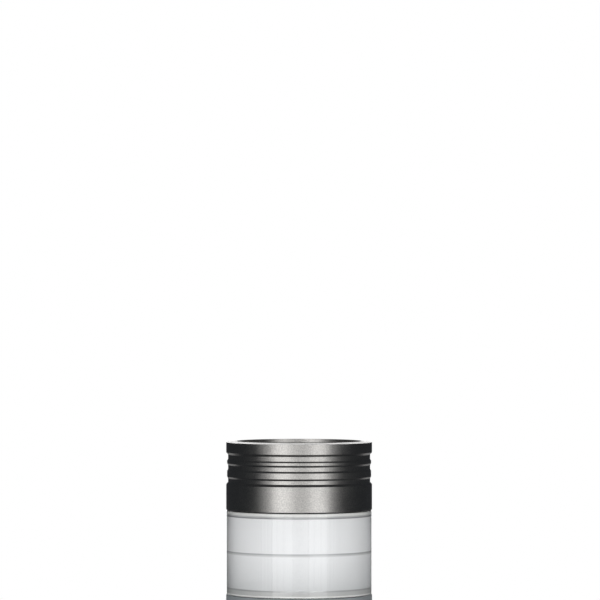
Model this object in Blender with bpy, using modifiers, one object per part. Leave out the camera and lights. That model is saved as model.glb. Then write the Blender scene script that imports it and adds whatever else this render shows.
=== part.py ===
"""Pole-mounted 360 degree survey target: reflective drum, tracking lights, battery housing.

The model stands on the XY plane with its axis on Z. Lengths are in millimetres and
are turned into metres where a mesh is made.
"""
import math

import bmesh
import bpy
from mathutils import Matrix, Vector

MM = 0.001
RING_STEPS = 40
INNER_STEPS = 28
SMALL_STEPS = 24
SCREW_STEPS = 10
GAP = 0.3  # clearance left between pieces that touch

# Driving dimensions
TOTAL_HEIGHT = 165.0
BODY_RADIUS = 33.0
MOUTH_RADIUS = 28.3
GROOVE_RADIUS = 32.14
RIB_RADIUS = 32.6

# Turned collars
RIM_DROP = 0.66
TOP_LAND = 4.45
COLLAR_DEPTH = 31.4
COLLAR_CHAMFER = 0.6
RECESS_DEPTH = 14.0
PLATE_THICKNESS = 6.0
LEDGE_RADIUS = 21.5
LEDGE_THICKNESS = 4.0
SKIRT_RADIUS = 29.0
LIP_RADIUS = 31.9
# Grip outline from its upper shoulder down: (radius reached, height of the run)
GRIP_RUNS = (
    (GROOVE_RADIUS, 0.9),
    (GROOVE_RADIUS, 2.21),
    (RIB_RADIUS, 0.49),
    (RIB_RADIUS, 1.3),
    (GROOVE_RADIUS, 0.73),
    (GROOVE_RADIUS, 1.94),
    (RIB_RADIUS, 0.71),
    (RIB_RADIUS, 2.65),
    (GROOVE_RADIUS, 0.73),
    (GROOVE_RADIUS, 1.71),
    (BODY_RADIUS, 0.96),
)

# Five-eighths inch by eleven thread inserts
THREAD_RADIUS = 7.95
INSERT_RADIUS = 12.0
INSERT_FLANGE = 15.0
INSERT_FLANGE_THICKNESS = 2.0
THREAD_DEPTH = 14.0
INSERT_FLOOR = 2.0

# Reflective drum under its clear sleeve: depths below the rim
SLEEVE_RADIUS = 32.8
SLEEVE_BORE = 31.35
SLEEVE_TOP = 31.7
SLEEVE_BOTTOM = 69.0
DRUM_RADIUS = 30.6
DRUM_BORE = 28.2
SHEET_THICKNESS = 0.2
SHEET_SEAM = 50.0
SHEET_SEAM_WIDTH = 0.45
SHEET_TOP = 34.0
SHEET_BOTTOM = 66.1
END_RING_BORE = 27.9
GASKET_INNER = 29.4
GASKET_OUTER = 31.6
GASKET_THICKNESS = 0.5

# Upper housing, tracking lights and their window: depths below the rim
UPPER_HOUSING_TOP = 69.3
DECK_TOP = 70.2
DECK_THICKNESS = 3.0
WINDOW_TOP = 75.3
WINDOW_BOTTOM = 84.7
SPIGOT_RADIUS = 30.5
SPIGOT_BORE = 28.0
SPIGOT_REACH = 1.5
CABLE_HOLE = 6.0
LIGHT_COUNT = 6
LIGHT_CIRCLE = 23.2
LIGHT_DEPTH = 78.9
LIGHT_BOARD_DEPTH = 80.8
BOARD_THICKNESS = 1.6

# Battery housing: heights above the base
HOUSING_BOTTOM = 20.3
HOUSING_TOP = 80.0
HOUSING_BORE = 30.6
HOUSING_DECK_SINK = 1.0
CAVITY_TOP = 76.0
CAVITY_FRONT = -27.4
CAVITY_BACK = 22.8
DOOR_SEAT = 25.0
POCKET_BOTTOM = 23.5
POCKET_TOP = 75.5
BAY_HALF_WIDTH = 14.6
BAY_BOTTOM = 30.5
BAY_TOP = 66.2

# Battery door and its hinge
DOOR_HALF_WIDTH = 17.0
DOOR_INNER = 26.4
DOOR_OUTER = 28.2
DOOR_BOTTOM = 28.5
DOOR_TOP = 74.5
HINGE_Y = 28.6
HINGE_Z = 26.2
HINGE_RADIUS = 2.0
HINGE_BORE = 1.1
HINGE_PIN_RADIUS = 0.8
DOOR_BARREL_HALF = 6.2
LUG_LENGTH = 4.0
LUG_WEB_HALF = 1.7
LATCH_Z = 71.2
LATCH_HEAD_RADIUS = 3.1
LATCH_SHANK_RADIUS = 1.5

# Power button and status lights on the front
BUTTON_Z = 56.0
BUTTON_RADIUS = 6.6
BUTTON_HOLE = 6.9
BUTTON_FLANGE = 7.8
BEZEL_RADIUS = 9.3
BEZEL_SEAT = -29.6
STATUS_Z = 70.0
STATUS_SPACING = 6.0
STATUS_RADIUS = 1.1
STATUS_FACE = -32.3

# Battery, its tray and the boards
TRAY_WALL = 1.0
TRAY_FRONT = 1.4
BATTERY_HALF_WIDTH = 13.9
BATTERY_FRONT = 3.0
BATTERY_BACK = 22.0
CONTACT_SPACING = 14.0
MAIN_BOARD_Y = -20.0
MAIN_BOARD_HALF_WIDTH = 20.0
MAIN_BOARD_BOTTOM = 30.0
MAIN_BOARD_TOP = 74.0

# Base
BASE_TOP = 20.0
BASE_BORE = 24.0
BASE_FLOOR = 5.0
BASE_SEAT_RADIUS = 30.5
BASE_SEAT_DROP = 1.0
BASE_SHOULDER_DROP = 2.0
BASE_EDGE = 0.4

# Fasteners
SCREW_RADIUS = 1.35
SCREW_HOLE = 1.65
SCREW_HEAD = 2.7
SCREW_HEAD_HEIGHT = 2.0
PLATE_SCREW_CIRCLE = 24.4
PLATE_SCREW_ANGLES = (30, 150, 270)
DECK_SCREW_CIRCLE = 23.0
DECK_SCREW_ANGLES = (90, 210, 330)
BASE_SCREW_CIRCLE = 27.0
BASE_SCREW_ANGLES = (30, 150, 210, 330)
BASE_BOSS_RADIUS = 4.2
BASE_BOSS_TOP = 36.0
TIE_ROD_RADIUS = 2.5


def below_rim(depth):
    """Height above the base of a level given as a depth below the rim."""
    return TOTAL_HEIGHT - depth


def on_circle(radius, degrees):
    """Point of a circle about the axis."""
    angle = math.radians(degrees)
    return radius * math.cos(angle), radius * math.sin(angle)


# Scene, collections and materials

for old in list(bpy.data.objects):
    bpy.data.objects.remove(old, do_unlink=True)

target = bpy.data.collections.new("survey_target")
cutters = bpy.data.collections.new("cutters")
bpy.context.scene.collection.children.link(target)
bpy.context.scene.collection.children.link(cutters)


def new_material(name, color, roughness, metallic=0.0, alpha=1.0):
    """Principled material with one colour."""
    made = bpy.data.materials.new(name)
    made.use_nodes = True
    shader = made.node_tree.nodes["Principled BSDF"]
    shader.inputs["Base Color"].default_value = (*color, 1.0)
    shader.inputs["Roughness"].default_value = roughness
    shader.inputs["Metallic"].default_value = metallic
    shader.inputs["Alpha"].default_value = alpha
    made.diffuse_color = (*color, alpha)
    return made


anodised = new_material("gunmetal_anodised", (0.20, 0.20, 0.21), 0.38, 1.0)
stainless = new_material("stainless_steel", (0.56, 0.55, 0.53), 0.28, 1.0)
brass = new_material("brass", (0.70, 0.50, 0.22), 0.3, 1.0)
aluminium = new_material("turned_aluminium", (0.72, 0.72, 0.73), 0.35, 1.0)
rubber = new_material("black_rubber", (0.03, 0.03, 0.03), 0.7)
sheeting = new_material("reflective_sheeting", (0.80, 0.82, 0.83), 0.35)
clear = new_material("clear_acrylic", (0.92, 0.94, 0.94), 0.05, 0.0, 0.3)
smoked = new_material("smoked_acrylic", (0.05, 0.02, 0.03), 0.08)
white_plastic = new_material("white_plastic", (0.80, 0.80, 0.78), 0.45)
grey_plastic = new_material("grey_plastic", (0.23, 0.24, 0.24), 0.5)
dark_plastic = new_material("dark_plastic", (0.05, 0.05, 0.055), 0.5)
board_laminate = new_material("board_laminate", (0.03, 0.18, 0.08), 0.45)
light_epoxy = new_material("light_epoxy", (0.55, 0.50, 0.62), 0.1)
button_rubber = new_material("button_rubber", (0.10, 0.10, 0.11), 0.6)
battery_case = new_material("battery_case", (0.06, 0.07, 0.09), 0.4)


# Modelling helpers


def add_object(name, mesh, finish, collection):
    """Link a mesh as a named object; cutters are drawn as wires and not rendered."""
    made = bpy.data.objects.new(name, mesh)
    collection.objects.link(made)
    if finish:
        mesh.materials.append(finish)
    if collection is cutters:
        made.hide_render = True
        made.display_type = "WIRE"
    return made


def turned(name, outline, finish, steps=RING_STEPS, closed=True, collection=target):
    """Turn an outline of (radius, height) points about Z.

    The outline runs down its outer side. A closed one makes a ring; an open one starts
    and ends on the axis and makes a solid.
    """
    mesh = bpy.data.meshes.new(name)
    points = [(radius * MM, 0.0, height * MM) for radius, height in outline]
    edges = [(i, i + 1) for i in range(len(points) - 1)]
    if closed:
        edges.append((len(points) - 1, 0))
    mesh.from_pydata(points, edges, [])
    made = add_object(name, mesh, finish, collection)
    screw = made.modifiers.new("turn", "SCREW")
    screw.axis = "Z"
    screw.steps = steps
    screw.render_steps = steps
    screw.use_smooth_shade = True
    screw.use_merge_vertices = True
    screw.merge_threshold = 0.00002
    return made


def ring(name, inner, outer, bottom, top, finish, steps=RING_STEPS):
    """Plain ring of rectangular section."""
    outline = ((inner, top), (outer, top), (outer, bottom), (inner, bottom))
    return turned(name, outline, finish, steps)


def block(name, low, high, finish, collection=target, bevel=0.0):
    """Box between two corners, with rounded edges where a bevel is given."""
    low = Vector(low) * MM
    high = Vector(high) * MM
    mesh = bpy.data.meshes.new(name)
    shape = bmesh.new()
    place = Matrix.Translation((low + high) / 2) @ Matrix.Diagonal((*(high - low), 1.0))
    bmesh.ops.create_cube(shape, size=1.0, matrix=place)
    shape.to_mesh(mesh)
    shape.free()
    made = add_object(name, mesh, finish, collection)
    if bevel:
        rounding = made.modifiers.new("rounding", "BEVEL")
        rounding.width = bevel * MM
        rounding.segments = 2
    return made


def rod(name, radius, start, end, finish, steps=SMALL_STEPS, collection=target):
    """Straight cylinder between two points."""
    start = Vector(start) * MM
    end = Vector(end) * MM
    mesh = bpy.data.meshes.new(name)
    shape = bmesh.new()
    direction = (end - start).to_track_quat("Z", "Y").to_matrix().to_4x4()
    bmesh.ops.create_cone(
        shape,
        cap_ends=True,
        segments=steps,
        radius1=radius * MM,
        radius2=radius * MM,
        depth=(end - start).length,
        matrix=Matrix.Translation((start + end) / 2) @ direction,
    )
    shape.to_mesh(mesh)
    shape.free()
    mesh.shade_smooth()
    mesh.set_sharp_from_angle(angle=math.radians(30))
    return add_object(name, mesh, finish, collection)


def combine(body, other, operation):
    """Boolean modifier of another object on a body."""
    modifier = body.modifiers.new(f"{operation.lower()}_{other.name}", "BOOLEAN")
    modifier.operation = operation
    modifier.object = other
    return body


def drill(body, radius, start, end, steps=SMALL_STEPS):
    """Cut a round hole between two points."""
    number = len(body.modifiers)
    tool = rod(f"{body.name}_hole_{number}", radius, start, end, None, steps, cutters)
    return combine(body, tool, "DIFFERENCE")


def counterbore(body, x, y, face, seat, through):
    """Cut a screw hole with room for the head, from a face to beyond the far side."""
    way = math.copysign(1.0, face - through)
    outline = [
        (0.0, face + way),
        (SCREW_HEAD + GAP, face + way),
        (SCREW_HEAD + GAP, seat),
        (SCREW_HOLE, seat),
        (SCREW_HOLE, through - way),
        (0.0, through - way),
    ]
    if way < 0:
        outline.reverse()
    name = f"{body.name}_counterbore_{len(body.modifiers)}"
    tool = turned(name, outline, None, SCREW_STEPS, closed=False, collection=cutters)
    tool.location = (x * MM, y * MM, 0.0)
    return combine(body, tool, "DIFFERENCE")


def cut_block(body, low, high):
    """Cut a box-shaped space between two corners."""
    tool = block(f"{body.name}_cut_{len(body.modifiers)}", low, high, None, cutters)
    return combine(body, tool, "DIFFERENCE")


def screw(name, x, y, head_top, shank_end, finish=stainless):
    """Cap screw on a vertical axis; the shank runs from the head towards shank_end."""
    way = math.copysign(1.0, head_top - shank_end)
    under_head = head_top - way * SCREW_HEAD_HEIGHT
    outline = [
        (0.0, head_top),
        (SCREW_HEAD, head_top),
        (SCREW_HEAD, under_head),
        (SCREW_RADIUS, under_head),
        (SCREW_RADIUS, shank_end),
        (0.0, shank_end),
    ]
    if way < 0:
        outline.reverse()
    made = turned(name, outline, finish, SCREW_STEPS, closed=False)
    made.location = (x * MM, y * MM, 0.0)
    return made


def grip_outline(shoulder):
    """Grooved grip from the shoulder height down, shared by both collars."""
    points = [(BODY_RADIUS, shoulder)]
    height = shoulder
    for radius, run in GRIP_RUNS:
        height -= run
        points.append((radius, height))
    return points


# Top collar and the mounting plate in its mouth


def make_top_collar():
    top = TOTAL_HEIGHT
    land_end = top - RIM_DROP - TOP_LAND
    end = top - COLLAR_DEPTH
    ledge_top = top - RECESS_DEPTH - PLATE_THICKNESS - GAP
    ledge_bottom = ledge_top - LEDGE_THICKNESS
    lip_step = end + GAP + GASKET_THICKNESS
    outline = [(MOUTH_RADIUS, top), (BODY_RADIUS, top - RIM_DROP)]
    outline += grip_outline(land_end)
    outline += [
        (BODY_RADIUS, end + COLLAR_CHAMFER),
        (BODY_RADIUS - COLLAR_CHAMFER, end),
        (LIP_RADIUS, end),
        (LIP_RADIUS, lip_step),
        (SKIRT_RADIUS, lip_step),
        (SKIRT_RADIUS, ledge_bottom),
        (LEDGE_RADIUS, ledge_bottom),
        (LEDGE_RADIUS, ledge_top),
        (MOUTH_RADIUS, ledge_top),
    ]
    collar = turned("top_collar", outline, anodised)
    for angle in PLATE_SCREW_ANGLES:
        x, y = on_circle(PLATE_SCREW_CIRCLE, angle)
        drill(collar, SCREW_HOLE, (x, y, ledge_bottom - 1), (x, y, ledge_top + 1), SCREW_STEPS)


def make_mount_plate():
    top = below_rim(RECESS_DEPTH)
    bottom = top - PLATE_THICKNESS
    seat = top - SCREW_HEAD_HEIGHT - GAP
    plate = ring(
        "mount_plate", INSERT_RADIUS + GAP, MOUTH_RADIUS - GAP, bottom, top, aluminium
    )
    shank_end = bottom - LEDGE_THICKNESS
    for number, angle in enumerate(PLATE_SCREW_ANGLES, 1):
        x, y = on_circle(PLATE_SCREW_CIRCLE, angle)
        counterbore(plate, x, y, top, seat, bottom)
        screw(f"plate_screw_{number}", x, y, top, shank_end)


def make_top_insert():
    mouth = below_rim(RECESS_DEPTH)
    flange_top = mouth - PLATE_THICKNESS - GAP
    floor = mouth - THREAD_DEPTH
    outline = [
        (0.0, floor),
        (THREAD_RADIUS, floor),
        (THREAD_RADIUS, mouth),
        (INSERT_RADIUS, mouth),
        (INSERT_RADIUS, flange_top),
        (INSERT_FLANGE, flange_top),
        (INSERT_FLANGE, flange_top - INSERT_FLANGE_THICKNESS),
        (INSERT_RADIUS, flange_top - INSERT_FLANGE_THICKNESS),
        (INSERT_RADIUS, floor - INSERT_FLOOR),
        (0.0, floor - INSERT_FLOOR),
    ]
    turned("top_thread_insert", outline, stainless, INNER_STEPS, closed=False)


# Reflective drum


def make_drum():
    seam_half = SHEET_SEAM_WIDTH / 2
    sheet_inner = DRUM_RADIUS + GAP
    sheet_outer = sheet_inner + SHEET_THICKNESS
    end_ring_outer = SLEEVE_BORE - GAP
    gasket_top = below_rim(COLLAR_DEPTH) + GASKET_THICKNESS
    ring(
        "window_sleeve",
        SLEEVE_BORE,
        SLEEVE_RADIUS,
        below_rim(SLEEVE_BOTTOM),
        below_rim(SLEEVE_TOP),
        clear,
    )
    ring(
        "sleeve_gasket_top",
        GASKET_INNER,
        GASKET_OUTER,
        gasket_top - GASKET_THICKNESS,
        gasket_top,
        rubber,
        INNER_STEPS,
    )
    gasket_base = below_rim(DECK_TOP) + GAP
    ring(
        "sleeve_gasket_bottom",
        GASKET_INNER,
        GASKET_OUTER,
        gasket_base,
        gasket_base + GASKET_THICKNESS,
        rubber,
        INNER_STEPS,
    )
    ring(
        "upper_end_ring",
        END_RING_BORE,
        end_ring_outer,
        below_rim(SHEET_TOP) + 2 * GAP,
        below_rim(SLEEVE_TOP),
        white_plastic,
        INNER_STEPS,
    )
    ring(
        "lower_end_ring",
        END_RING_BORE,
        end_ring_outer,
        below_rim(SLEEVE_BOTTOM),
        below_rim(SHEET_BOTTOM) - 2 * GAP,
        white_plastic,
        INNER_STEPS,
    )
    ring(
        "reflector_drum",
        DRUM_BORE,
        DRUM_RADIUS,
        below_rim(SHEET_BOTTOM) - GAP,
        below_rim(SHEET_TOP) + GAP,
        aluminium,
        INNER_STEPS,
    )
    ring(
        "reflective_sheet_upper",
        sheet_inner,
        sheet_outer,
        below_rim(SHEET_SEAM - seam_half),
        below_rim(SHEET_TOP),
        sheeting,
        INNER_STEPS,
    )
    ring(
        "reflective_sheet_lower",
        sheet_inner,
        sheet_outer,
        below_rim(SHEET_BOTTOM),
        below_rim(SHEET_SEAM + seam_half),
        sheeting,
        INNER_STEPS,
    )


def make_tie_rods():
    ledge_bottom = below_rim(RECESS_DEPTH + PLATE_THICKNESS + GAP + LEDGE_THICKNESS)
    for number, angle in enumerate(PLATE_SCREW_ANGLES, 1):
        x, y = on_circle(PLATE_SCREW_CIRCLE, angle)
        start = (x, y, below_rim(DECK_TOP) + GAP)
        end = (x, y, ledge_bottom - GAP)
        rod(f"tie_rod_{number}", TIE_ROD_RADIUS, start, end, stainless, SCREW_STEPS)


# Upper housing and the tracking lights


def make_upper_housing():
    top = below_rim(UPPER_HOUSING_TOP)
    deck = below_rim(DECK_TOP)
    deck_under = deck - DECK_THICKNESS
    edge = below_rim(WINDOW_TOP) + GAP
    spigot_end = edge - SPIGOT_REACH
    outline = [
        (LIP_RADIUS, top),
        (BODY_RADIUS - GAP, top),
        (BODY_RADIUS, top - GAP),
        (BODY_RADIUS, edge),
        (SPIGOT_RADIUS, edge),
        (SPIGOT_RADIUS, spigot_end),
        (SPIGOT_BORE, spigot_end),
        (SPIGOT_BORE, deck_under),
        (CABLE_HOLE, deck_under),
        (CABLE_HOLE, deck),
        (LIP_RADIUS, deck),
    ]
    housing = turned("upper_housing", outline, grey_plastic)
    head_top = deck + GAP + SCREW_HEAD_HEIGHT
    for number, angle in enumerate(DECK_SCREW_ANGLES, 1):
        x, y = on_circle(DECK_SCREW_CIRCLE, angle)
        drill(housing, SCREW_HOLE, (x, y, deck_under - 1), (x, y, deck + 1), SCREW_STEPS)
        screw(f"deck_screw_{number}", x, y, head_top, CAVITY_TOP + 1.0)
    ring(
        "led_window",
        SPIGOT_RADIUS + GAP,
        BODY_RADIUS,
        below_rim(WINDOW_BOTTOM),
        below_rim(WINDOW_TOP),
        smoked,
    )


def make_tracking_lights():
    board_top = below_rim(LIGHT_BOARD_DEPTH)
    board_bottom = board_top - BOARD_THICKNESS
    board = ring(
        "led_board",
        SPIGOT_BORE / 2,
        SPIGOT_BORE - 2 * GAP,
        board_bottom,
        board_top,
        board_laminate,
        INNER_STEPS,
    )
    for angle in DECK_SCREW_ANGLES:
        x, y = on_circle(DECK_SCREW_CIRCLE, angle)
        drill(board, SCREW_HOLE, (x, y, board_bottom - 1), (x, y, board_top + 1), SCREW_STEPS)
    flange = 1.6
    flange_height = 0.9
    barrel = 1.35
    dome_base = 5.0
    dome = [
        (barrel * math.cos(t), dome_base + barrel * math.sin(t))
        for t in (math.radians(60), math.radians(30), 0.0)
    ]
    outline = [(0.0, dome_base + barrel)] + dome
    outline += [(barrel, flange_height), (flange, flange_height), (flange, 0.0), (0.0, 0.0)]
    for number in range(LIGHT_COUNT):
        angle = 360.0 / LIGHT_COUNT * number
        x, y = on_circle(LIGHT_CIRCLE, angle)
        light = turned(f"tracking_led_{number + 1}", outline, light_epoxy, SCREW_STEPS, closed=False)
        light.location = (x * MM, y * MM, below_rim(LIGHT_DEPTH) * MM)
        light.rotation_euler = (0.0, math.radians(90), math.radians(angle))


# Battery housing


def make_battery_housing():
    step = HOUSING_TOP + SPIGOT_REACH
    deck = HOUSING_TOP - HOUSING_DECK_SINK
    outline = [
        (0.0, deck),
        (SPIGOT_BORE, deck),
        (SPIGOT_BORE, step),
        (SPIGOT_RADIUS, step),
        (SPIGOT_RADIUS, HOUSING_TOP),
        (BODY_RADIUS, HOUSING_TOP),
        (BODY_RADIUS, HOUSING_BOTTOM),
        (0.0, HOUSING_BOTTOM),
    ]
    housing = turned("battery_housing", outline, grey_plastic, closed=False)

    cavity_bottom = HOUSING_BOTTOM - 1.0
    cavity = rod(
        "cavity", HOUSING_BORE, (0, 0, cavity_bottom), (0, 0, CAVITY_TOP), None, RING_STEPS, cutters
    )
    slab = block(
        "cavity_slab",
        (-BODY_RADIUS, CAVITY_FRONT, cavity_bottom - 1),
        (BODY_RADIUS, CAVITY_BACK, CAVITY_TOP + 1),
        None,
        cutters,
    )
    combine(cavity, slab, "INTERSECT")
    for number, angle in enumerate(BASE_SCREW_ANGLES, 1):
        x, y = on_circle(BASE_SCREW_CIRCLE, angle)
        boss = rod(
            f"base_boss_{number}",
            BASE_BOSS_RADIUS,
            (x, y, cavity_bottom - 1),
            (x, y, BASE_BOSS_TOP),
            None,
            16,
            cutters,
        )
        combine(cavity, boss, "DIFFERENCE")
    combine(housing, cavity, "DIFFERENCE")

    for angle in BASE_SCREW_ANGLES:
        x, y = on_circle(BASE_SCREW_CIRCLE, angle)
        drill(housing, SCREW_HOLE, (x, y, HOUSING_BOTTOM - 1), (x, y, BASE_BOSS_TOP - 3), SCREW_STEPS)
    for angle in DECK_SCREW_ANGLES:
        x, y = on_circle(DECK_SCREW_CIRCLE, angle)
        drill(housing, SCREW_HOLE, (x, y, CAVITY_TOP - 1), (x, y, step + 1), SCREW_STEPS)

    outside = BODY_RADIUS + 2
    cut_block(housing, (-outside, DOOR_SEAT, POCKET_BOTTOM), (outside, outside, POCKET_TOP))
    cut_block(
        housing,
        (-BAY_HALF_WIDTH, CAVITY_BACK - 1, BAY_BOTTOM),
        (BAY_HALF_WIDTH, DOOR_SEAT + 1, BAY_TOP),
    )
    latch_hole = LATCH_SHANK_RADIUS + 2 * GAP
    drill(housing, latch_hole, (0, CAVITY_BACK - 1, LATCH_Z), (0, DOOR_SEAT + 1, LATCH_Z))
    drill(housing, BUTTON_HOLE, (0, CAVITY_FRONT + 1, BUTTON_Z), (0, -outside, BUTTON_Z))
    drill(housing, BEZEL_RADIUS + GAP, (0, BEZEL_SEAT, BUTTON_Z), (0, -outside, BUTTON_Z))
    for side in (-1, 0, 1):
        x = side * STATUS_SPACING
        drill(
            housing,
            STATUS_RADIUS + GAP,
            (x, CAVITY_FRONT + 1, STATUS_Z),
            (x, -outside, STATUS_Z),
            12,
        )
    add_hinge_lugs(housing)


def add_hinge_lugs(housing):
    inner_end = DOOR_BARREL_HALF + GAP
    for side in (-1, 1):
        start = (side * inner_end, HINGE_Y, HINGE_Z)
        end = (side * (inner_end + LUG_LENGTH), HINGE_Y, HINGE_Z)
        low = (min(start[0], end[0]), DOOR_SEAT - 1, HINGE_Z - LUG_WEB_HALF)
        high = (max(start[0], end[0]), HINGE_Y, HINGE_Z + LUG_WEB_HALF)
        label = "left" if side < 0 else "right"
        web = block(f"lug_web_{label}", low, high, None, cutters)
        eye = rod(f"lug_eye_{label}", HINGE_RADIUS, start, end, None, SMALL_STEPS, cutters)
        combine(housing, web, "UNION")
        combine(housing, eye, "UNION")
    reach = inner_end + LUG_LENGTH + 1
    drill(housing, HINGE_BORE, (-reach, HINGE_Y, HINGE_Z), (reach, HINGE_Y, HINGE_Z), 16)


def make_battery_door():
    """Flat door on a horizontal hinge at its foot; its origin lies on the hinge axis."""
    low = (-DOOR_HALF_WIDTH, DOOR_INNER - HINGE_Y, DOOR_BOTTOM - HINGE_Z)
    high = (DOOR_HALF_WIDTH, DOOR_OUTER - HINGE_Y, DOOR_TOP - HINGE_Z)
    door = block("battery_door", low, high, grey_plastic)
    door.location = (0.0, HINGE_Y * MM, HINGE_Z * MM)
    tongue = block(
        "door_tongue",
        (-DOOR_BARREL_HALF, DOOR_INNER + GAP, HINGE_Z),
        (DOOR_BARREL_HALF, DOOR_OUTER, DOOR_BOTTOM + 1),
        None,
        cutters,
    )
    barrel = rod(
        "door_barrel",
        HINGE_RADIUS,
        (-DOOR_BARREL_HALF, HINGE_Y, HINGE_Z),
        (DOOR_BARREL_HALF, HINGE_Y, HINGE_Z),
        None,
        SMALL_STEPS,
        cutters,
    )
    combine(door, tongue, "UNION")
    combine(door, barrel, "UNION")
    reach = DOOR_BARREL_HALF + 1
    drill(door, HINGE_BORE, (-reach, HINGE_Y, HINGE_Z), (reach, HINGE_Y, HINGE_Z), 16)
    drill(
        door,
        LATCH_SHANK_RADIUS + GAP,
        (0, DOOR_INNER - 1, LATCH_Z),
        (0, DOOR_OUTER + 1, LATCH_Z),
        16,
    )

    pin_half = DOOR_BARREL_HALF + GAP + LUG_LENGTH
    rod(
        "door_hinge_pin",
        HINGE_PIN_RADIUS,
        (-pin_half, HINGE_Y, HINGE_Z),
        (pin_half, HINGE_Y, HINGE_Z),
        stainless,
        12,
    )


def make_door_latch():
    """Quarter-turn latch through the door; its origin lies on its own axis."""
    face = DOOR_OUTER + GAP
    head = 2.0
    shank = face - CAVITY_BACK
    outline = [
        (0.0, head),
        (LATCH_HEAD_RADIUS - 0.4, head),
        (LATCH_HEAD_RADIUS, head - 0.4),
        (LATCH_HEAD_RADIUS, 0.0),
        (LATCH_SHANK_RADIUS, 0.0),
        (LATCH_SHANK_RADIUS, -shank),
        (0.0, -shank),
    ]
    latch = turned("door_latch", outline, stainless, SMALL_STEPS, closed=False)
    latch.location = (0.0, face * MM, LATCH_Z * MM)
    latch.rotation_euler = (math.radians(-90), 0.0, 0.0)
    slot_half = 0.5
    slot_depth = 0.8
    slot_floor = face + head - slot_depth
    reach = LATCH_HEAD_RADIUS + 1
    cut_block(
        latch,
        (-slot_half, slot_floor, LATCH_Z - reach),
        (slot_half, face + head + 1, LATCH_Z + reach),
    )


def make_door_gasket():
    reach = 1.9
    margin = 0.5
    gasket = block(
        "door_gasket",
        (-BAY_HALF_WIDTH - reach, DOOR_SEAT + GAP, BAY_BOTTOM - reach + margin),
        (BAY_HALF_WIDTH + reach, DOOR_INNER - GAP, BAY_TOP + reach - margin),
        rubber,
    )
    cut_block(
        gasket,
        (-BAY_HALF_WIDTH - margin, DOOR_SEAT - 1, BAY_BOTTOM - margin),
        (BAY_HALF_WIDTH + margin, DOOR_INNER + 1, BAY_TOP + margin),
    )


# Battery, its tray and the electronics


def make_battery():
    """Open-backed tray behind the bay, the pack in it and two contacts under the pack."""
    tray_floor = BAY_BOTTOM - 1.5
    tray_back = CAVITY_BACK - GAP
    tray = block(
        "battery_tray",
        (-BAY_HALF_WIDTH - TRAY_WALL, TRAY_FRONT, tray_floor - TRAY_WALL),
        (BAY_HALF_WIDTH + TRAY_WALL, tray_back, BAY_TOP + TRAY_WALL),
        dark_plastic,
    )
    cut_block(
        tray,
        (-BAY_HALF_WIDTH, TRAY_FRONT + TRAY_WALL, tray_floor),
        (BAY_HALF_WIDTH, tray_back + 1, BAY_TOP),
    )
    pack_bottom = BAY_BOTTOM + 0.7
    block(
        "battery_pack",
        (-BATTERY_HALF_WIDTH, BATTERY_FRONT, pack_bottom),
        (BATTERY_HALF_WIDTH, BATTERY_BACK, BAY_TOP - 1.0),
        battery_case,
        bevel=1.2,
    )
    for number, side in enumerate((-1, 1), 1):
        x = side * CONTACT_SPACING / 2
        block(
            f"battery_contact_{number}",
            (x - 2, 8, tray_floor + GAP),
            (x + 2, 14, pack_bottom - GAP),
            brass,
        )


def make_electronics():
    half = BOARD_THICKNESS / 2
    front = MAIN_BOARD_Y - half
    back = MAIN_BOARD_Y + half
    block(
        "main_board",
        (-MAIN_BOARD_HALF_WIDTH, front, MAIN_BOARD_BOTTOM),
        (MAIN_BOARD_HALF_WIDTH, back, MAIN_BOARD_TOP),
        board_laminate,
    )
    block("tilt_sensor", (-14, back + GAP, 42), (-4, back + GAP + 2.4, 52), dark_plastic)
    block("radio_module", (3, back + GAP, 40), (16, back + GAP + 2.2, 60), stainless)
    switch_front = front - GAP - 3.3
    block(
        "power_switch",
        (-3, switch_front, BUTTON_Z - 3),
        (3, front - GAP, BUTTON_Z + 3),
        dark_plastic,
    )


# Front controls


def make_power_button():
    """Round button pressed along +Y; its origin lies on its axis."""
    face = 5.0
    dome = 0.6
    flange_back = 1.5
    outline = [
        (0.0, face),
        (BUTTON_RADIUS - 2.4, face - 0.1),
        (BUTTON_RADIUS - 0.6, face - dome),
        (BUTTON_RADIUS, face - dome - 0.6),
        (BUTTON_RADIUS, -GAP),
        (BUTTON_FLANGE, -GAP),
        (BUTTON_FLANGE, -flange_back),
        (0.0, -flange_back),
    ]
    button = turned("power_button", outline, button_rubber, SMALL_STEPS, closed=False)
    button.location = (0.0, CAVITY_FRONT * MM, BUTTON_Z * MM)
    button.rotation_euler = (math.radians(90), 0.0, 0.0)

    bezel_back = GAP
    bezel_front = 2.0
    outline = [
        (BUTTON_HOLE, bezel_front),
        (BEZEL_RADIUS - 0.4, bezel_front),
        (BEZEL_RADIUS, bezel_front - 0.4),
        (BEZEL_RADIUS, bezel_back),
        (BUTTON_HOLE, bezel_back),
    ]
    bezel = turned("button_bezel", outline, dark_plastic, SMALL_STEPS)
    bezel.location = (0.0, BEZEL_SEAT * MM, BUTTON_Z * MM)
    bezel.rotation_euler = (math.radians(90), 0.0, 0.0)

    pipe_back = MAIN_BOARD_Y - BOARD_THICKNESS / 2 - 1
    for number, side in enumerate((-1, 0, 1), 1):
        x = side * STATUS_SPACING
        start = (x, pipe_back, STATUS_Z)
        end = (x, STATUS_FACE, STATUS_Z)
        rod(f"status_light_{number}", STATUS_RADIUS, start, end, clear, 12)


# Base


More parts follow.
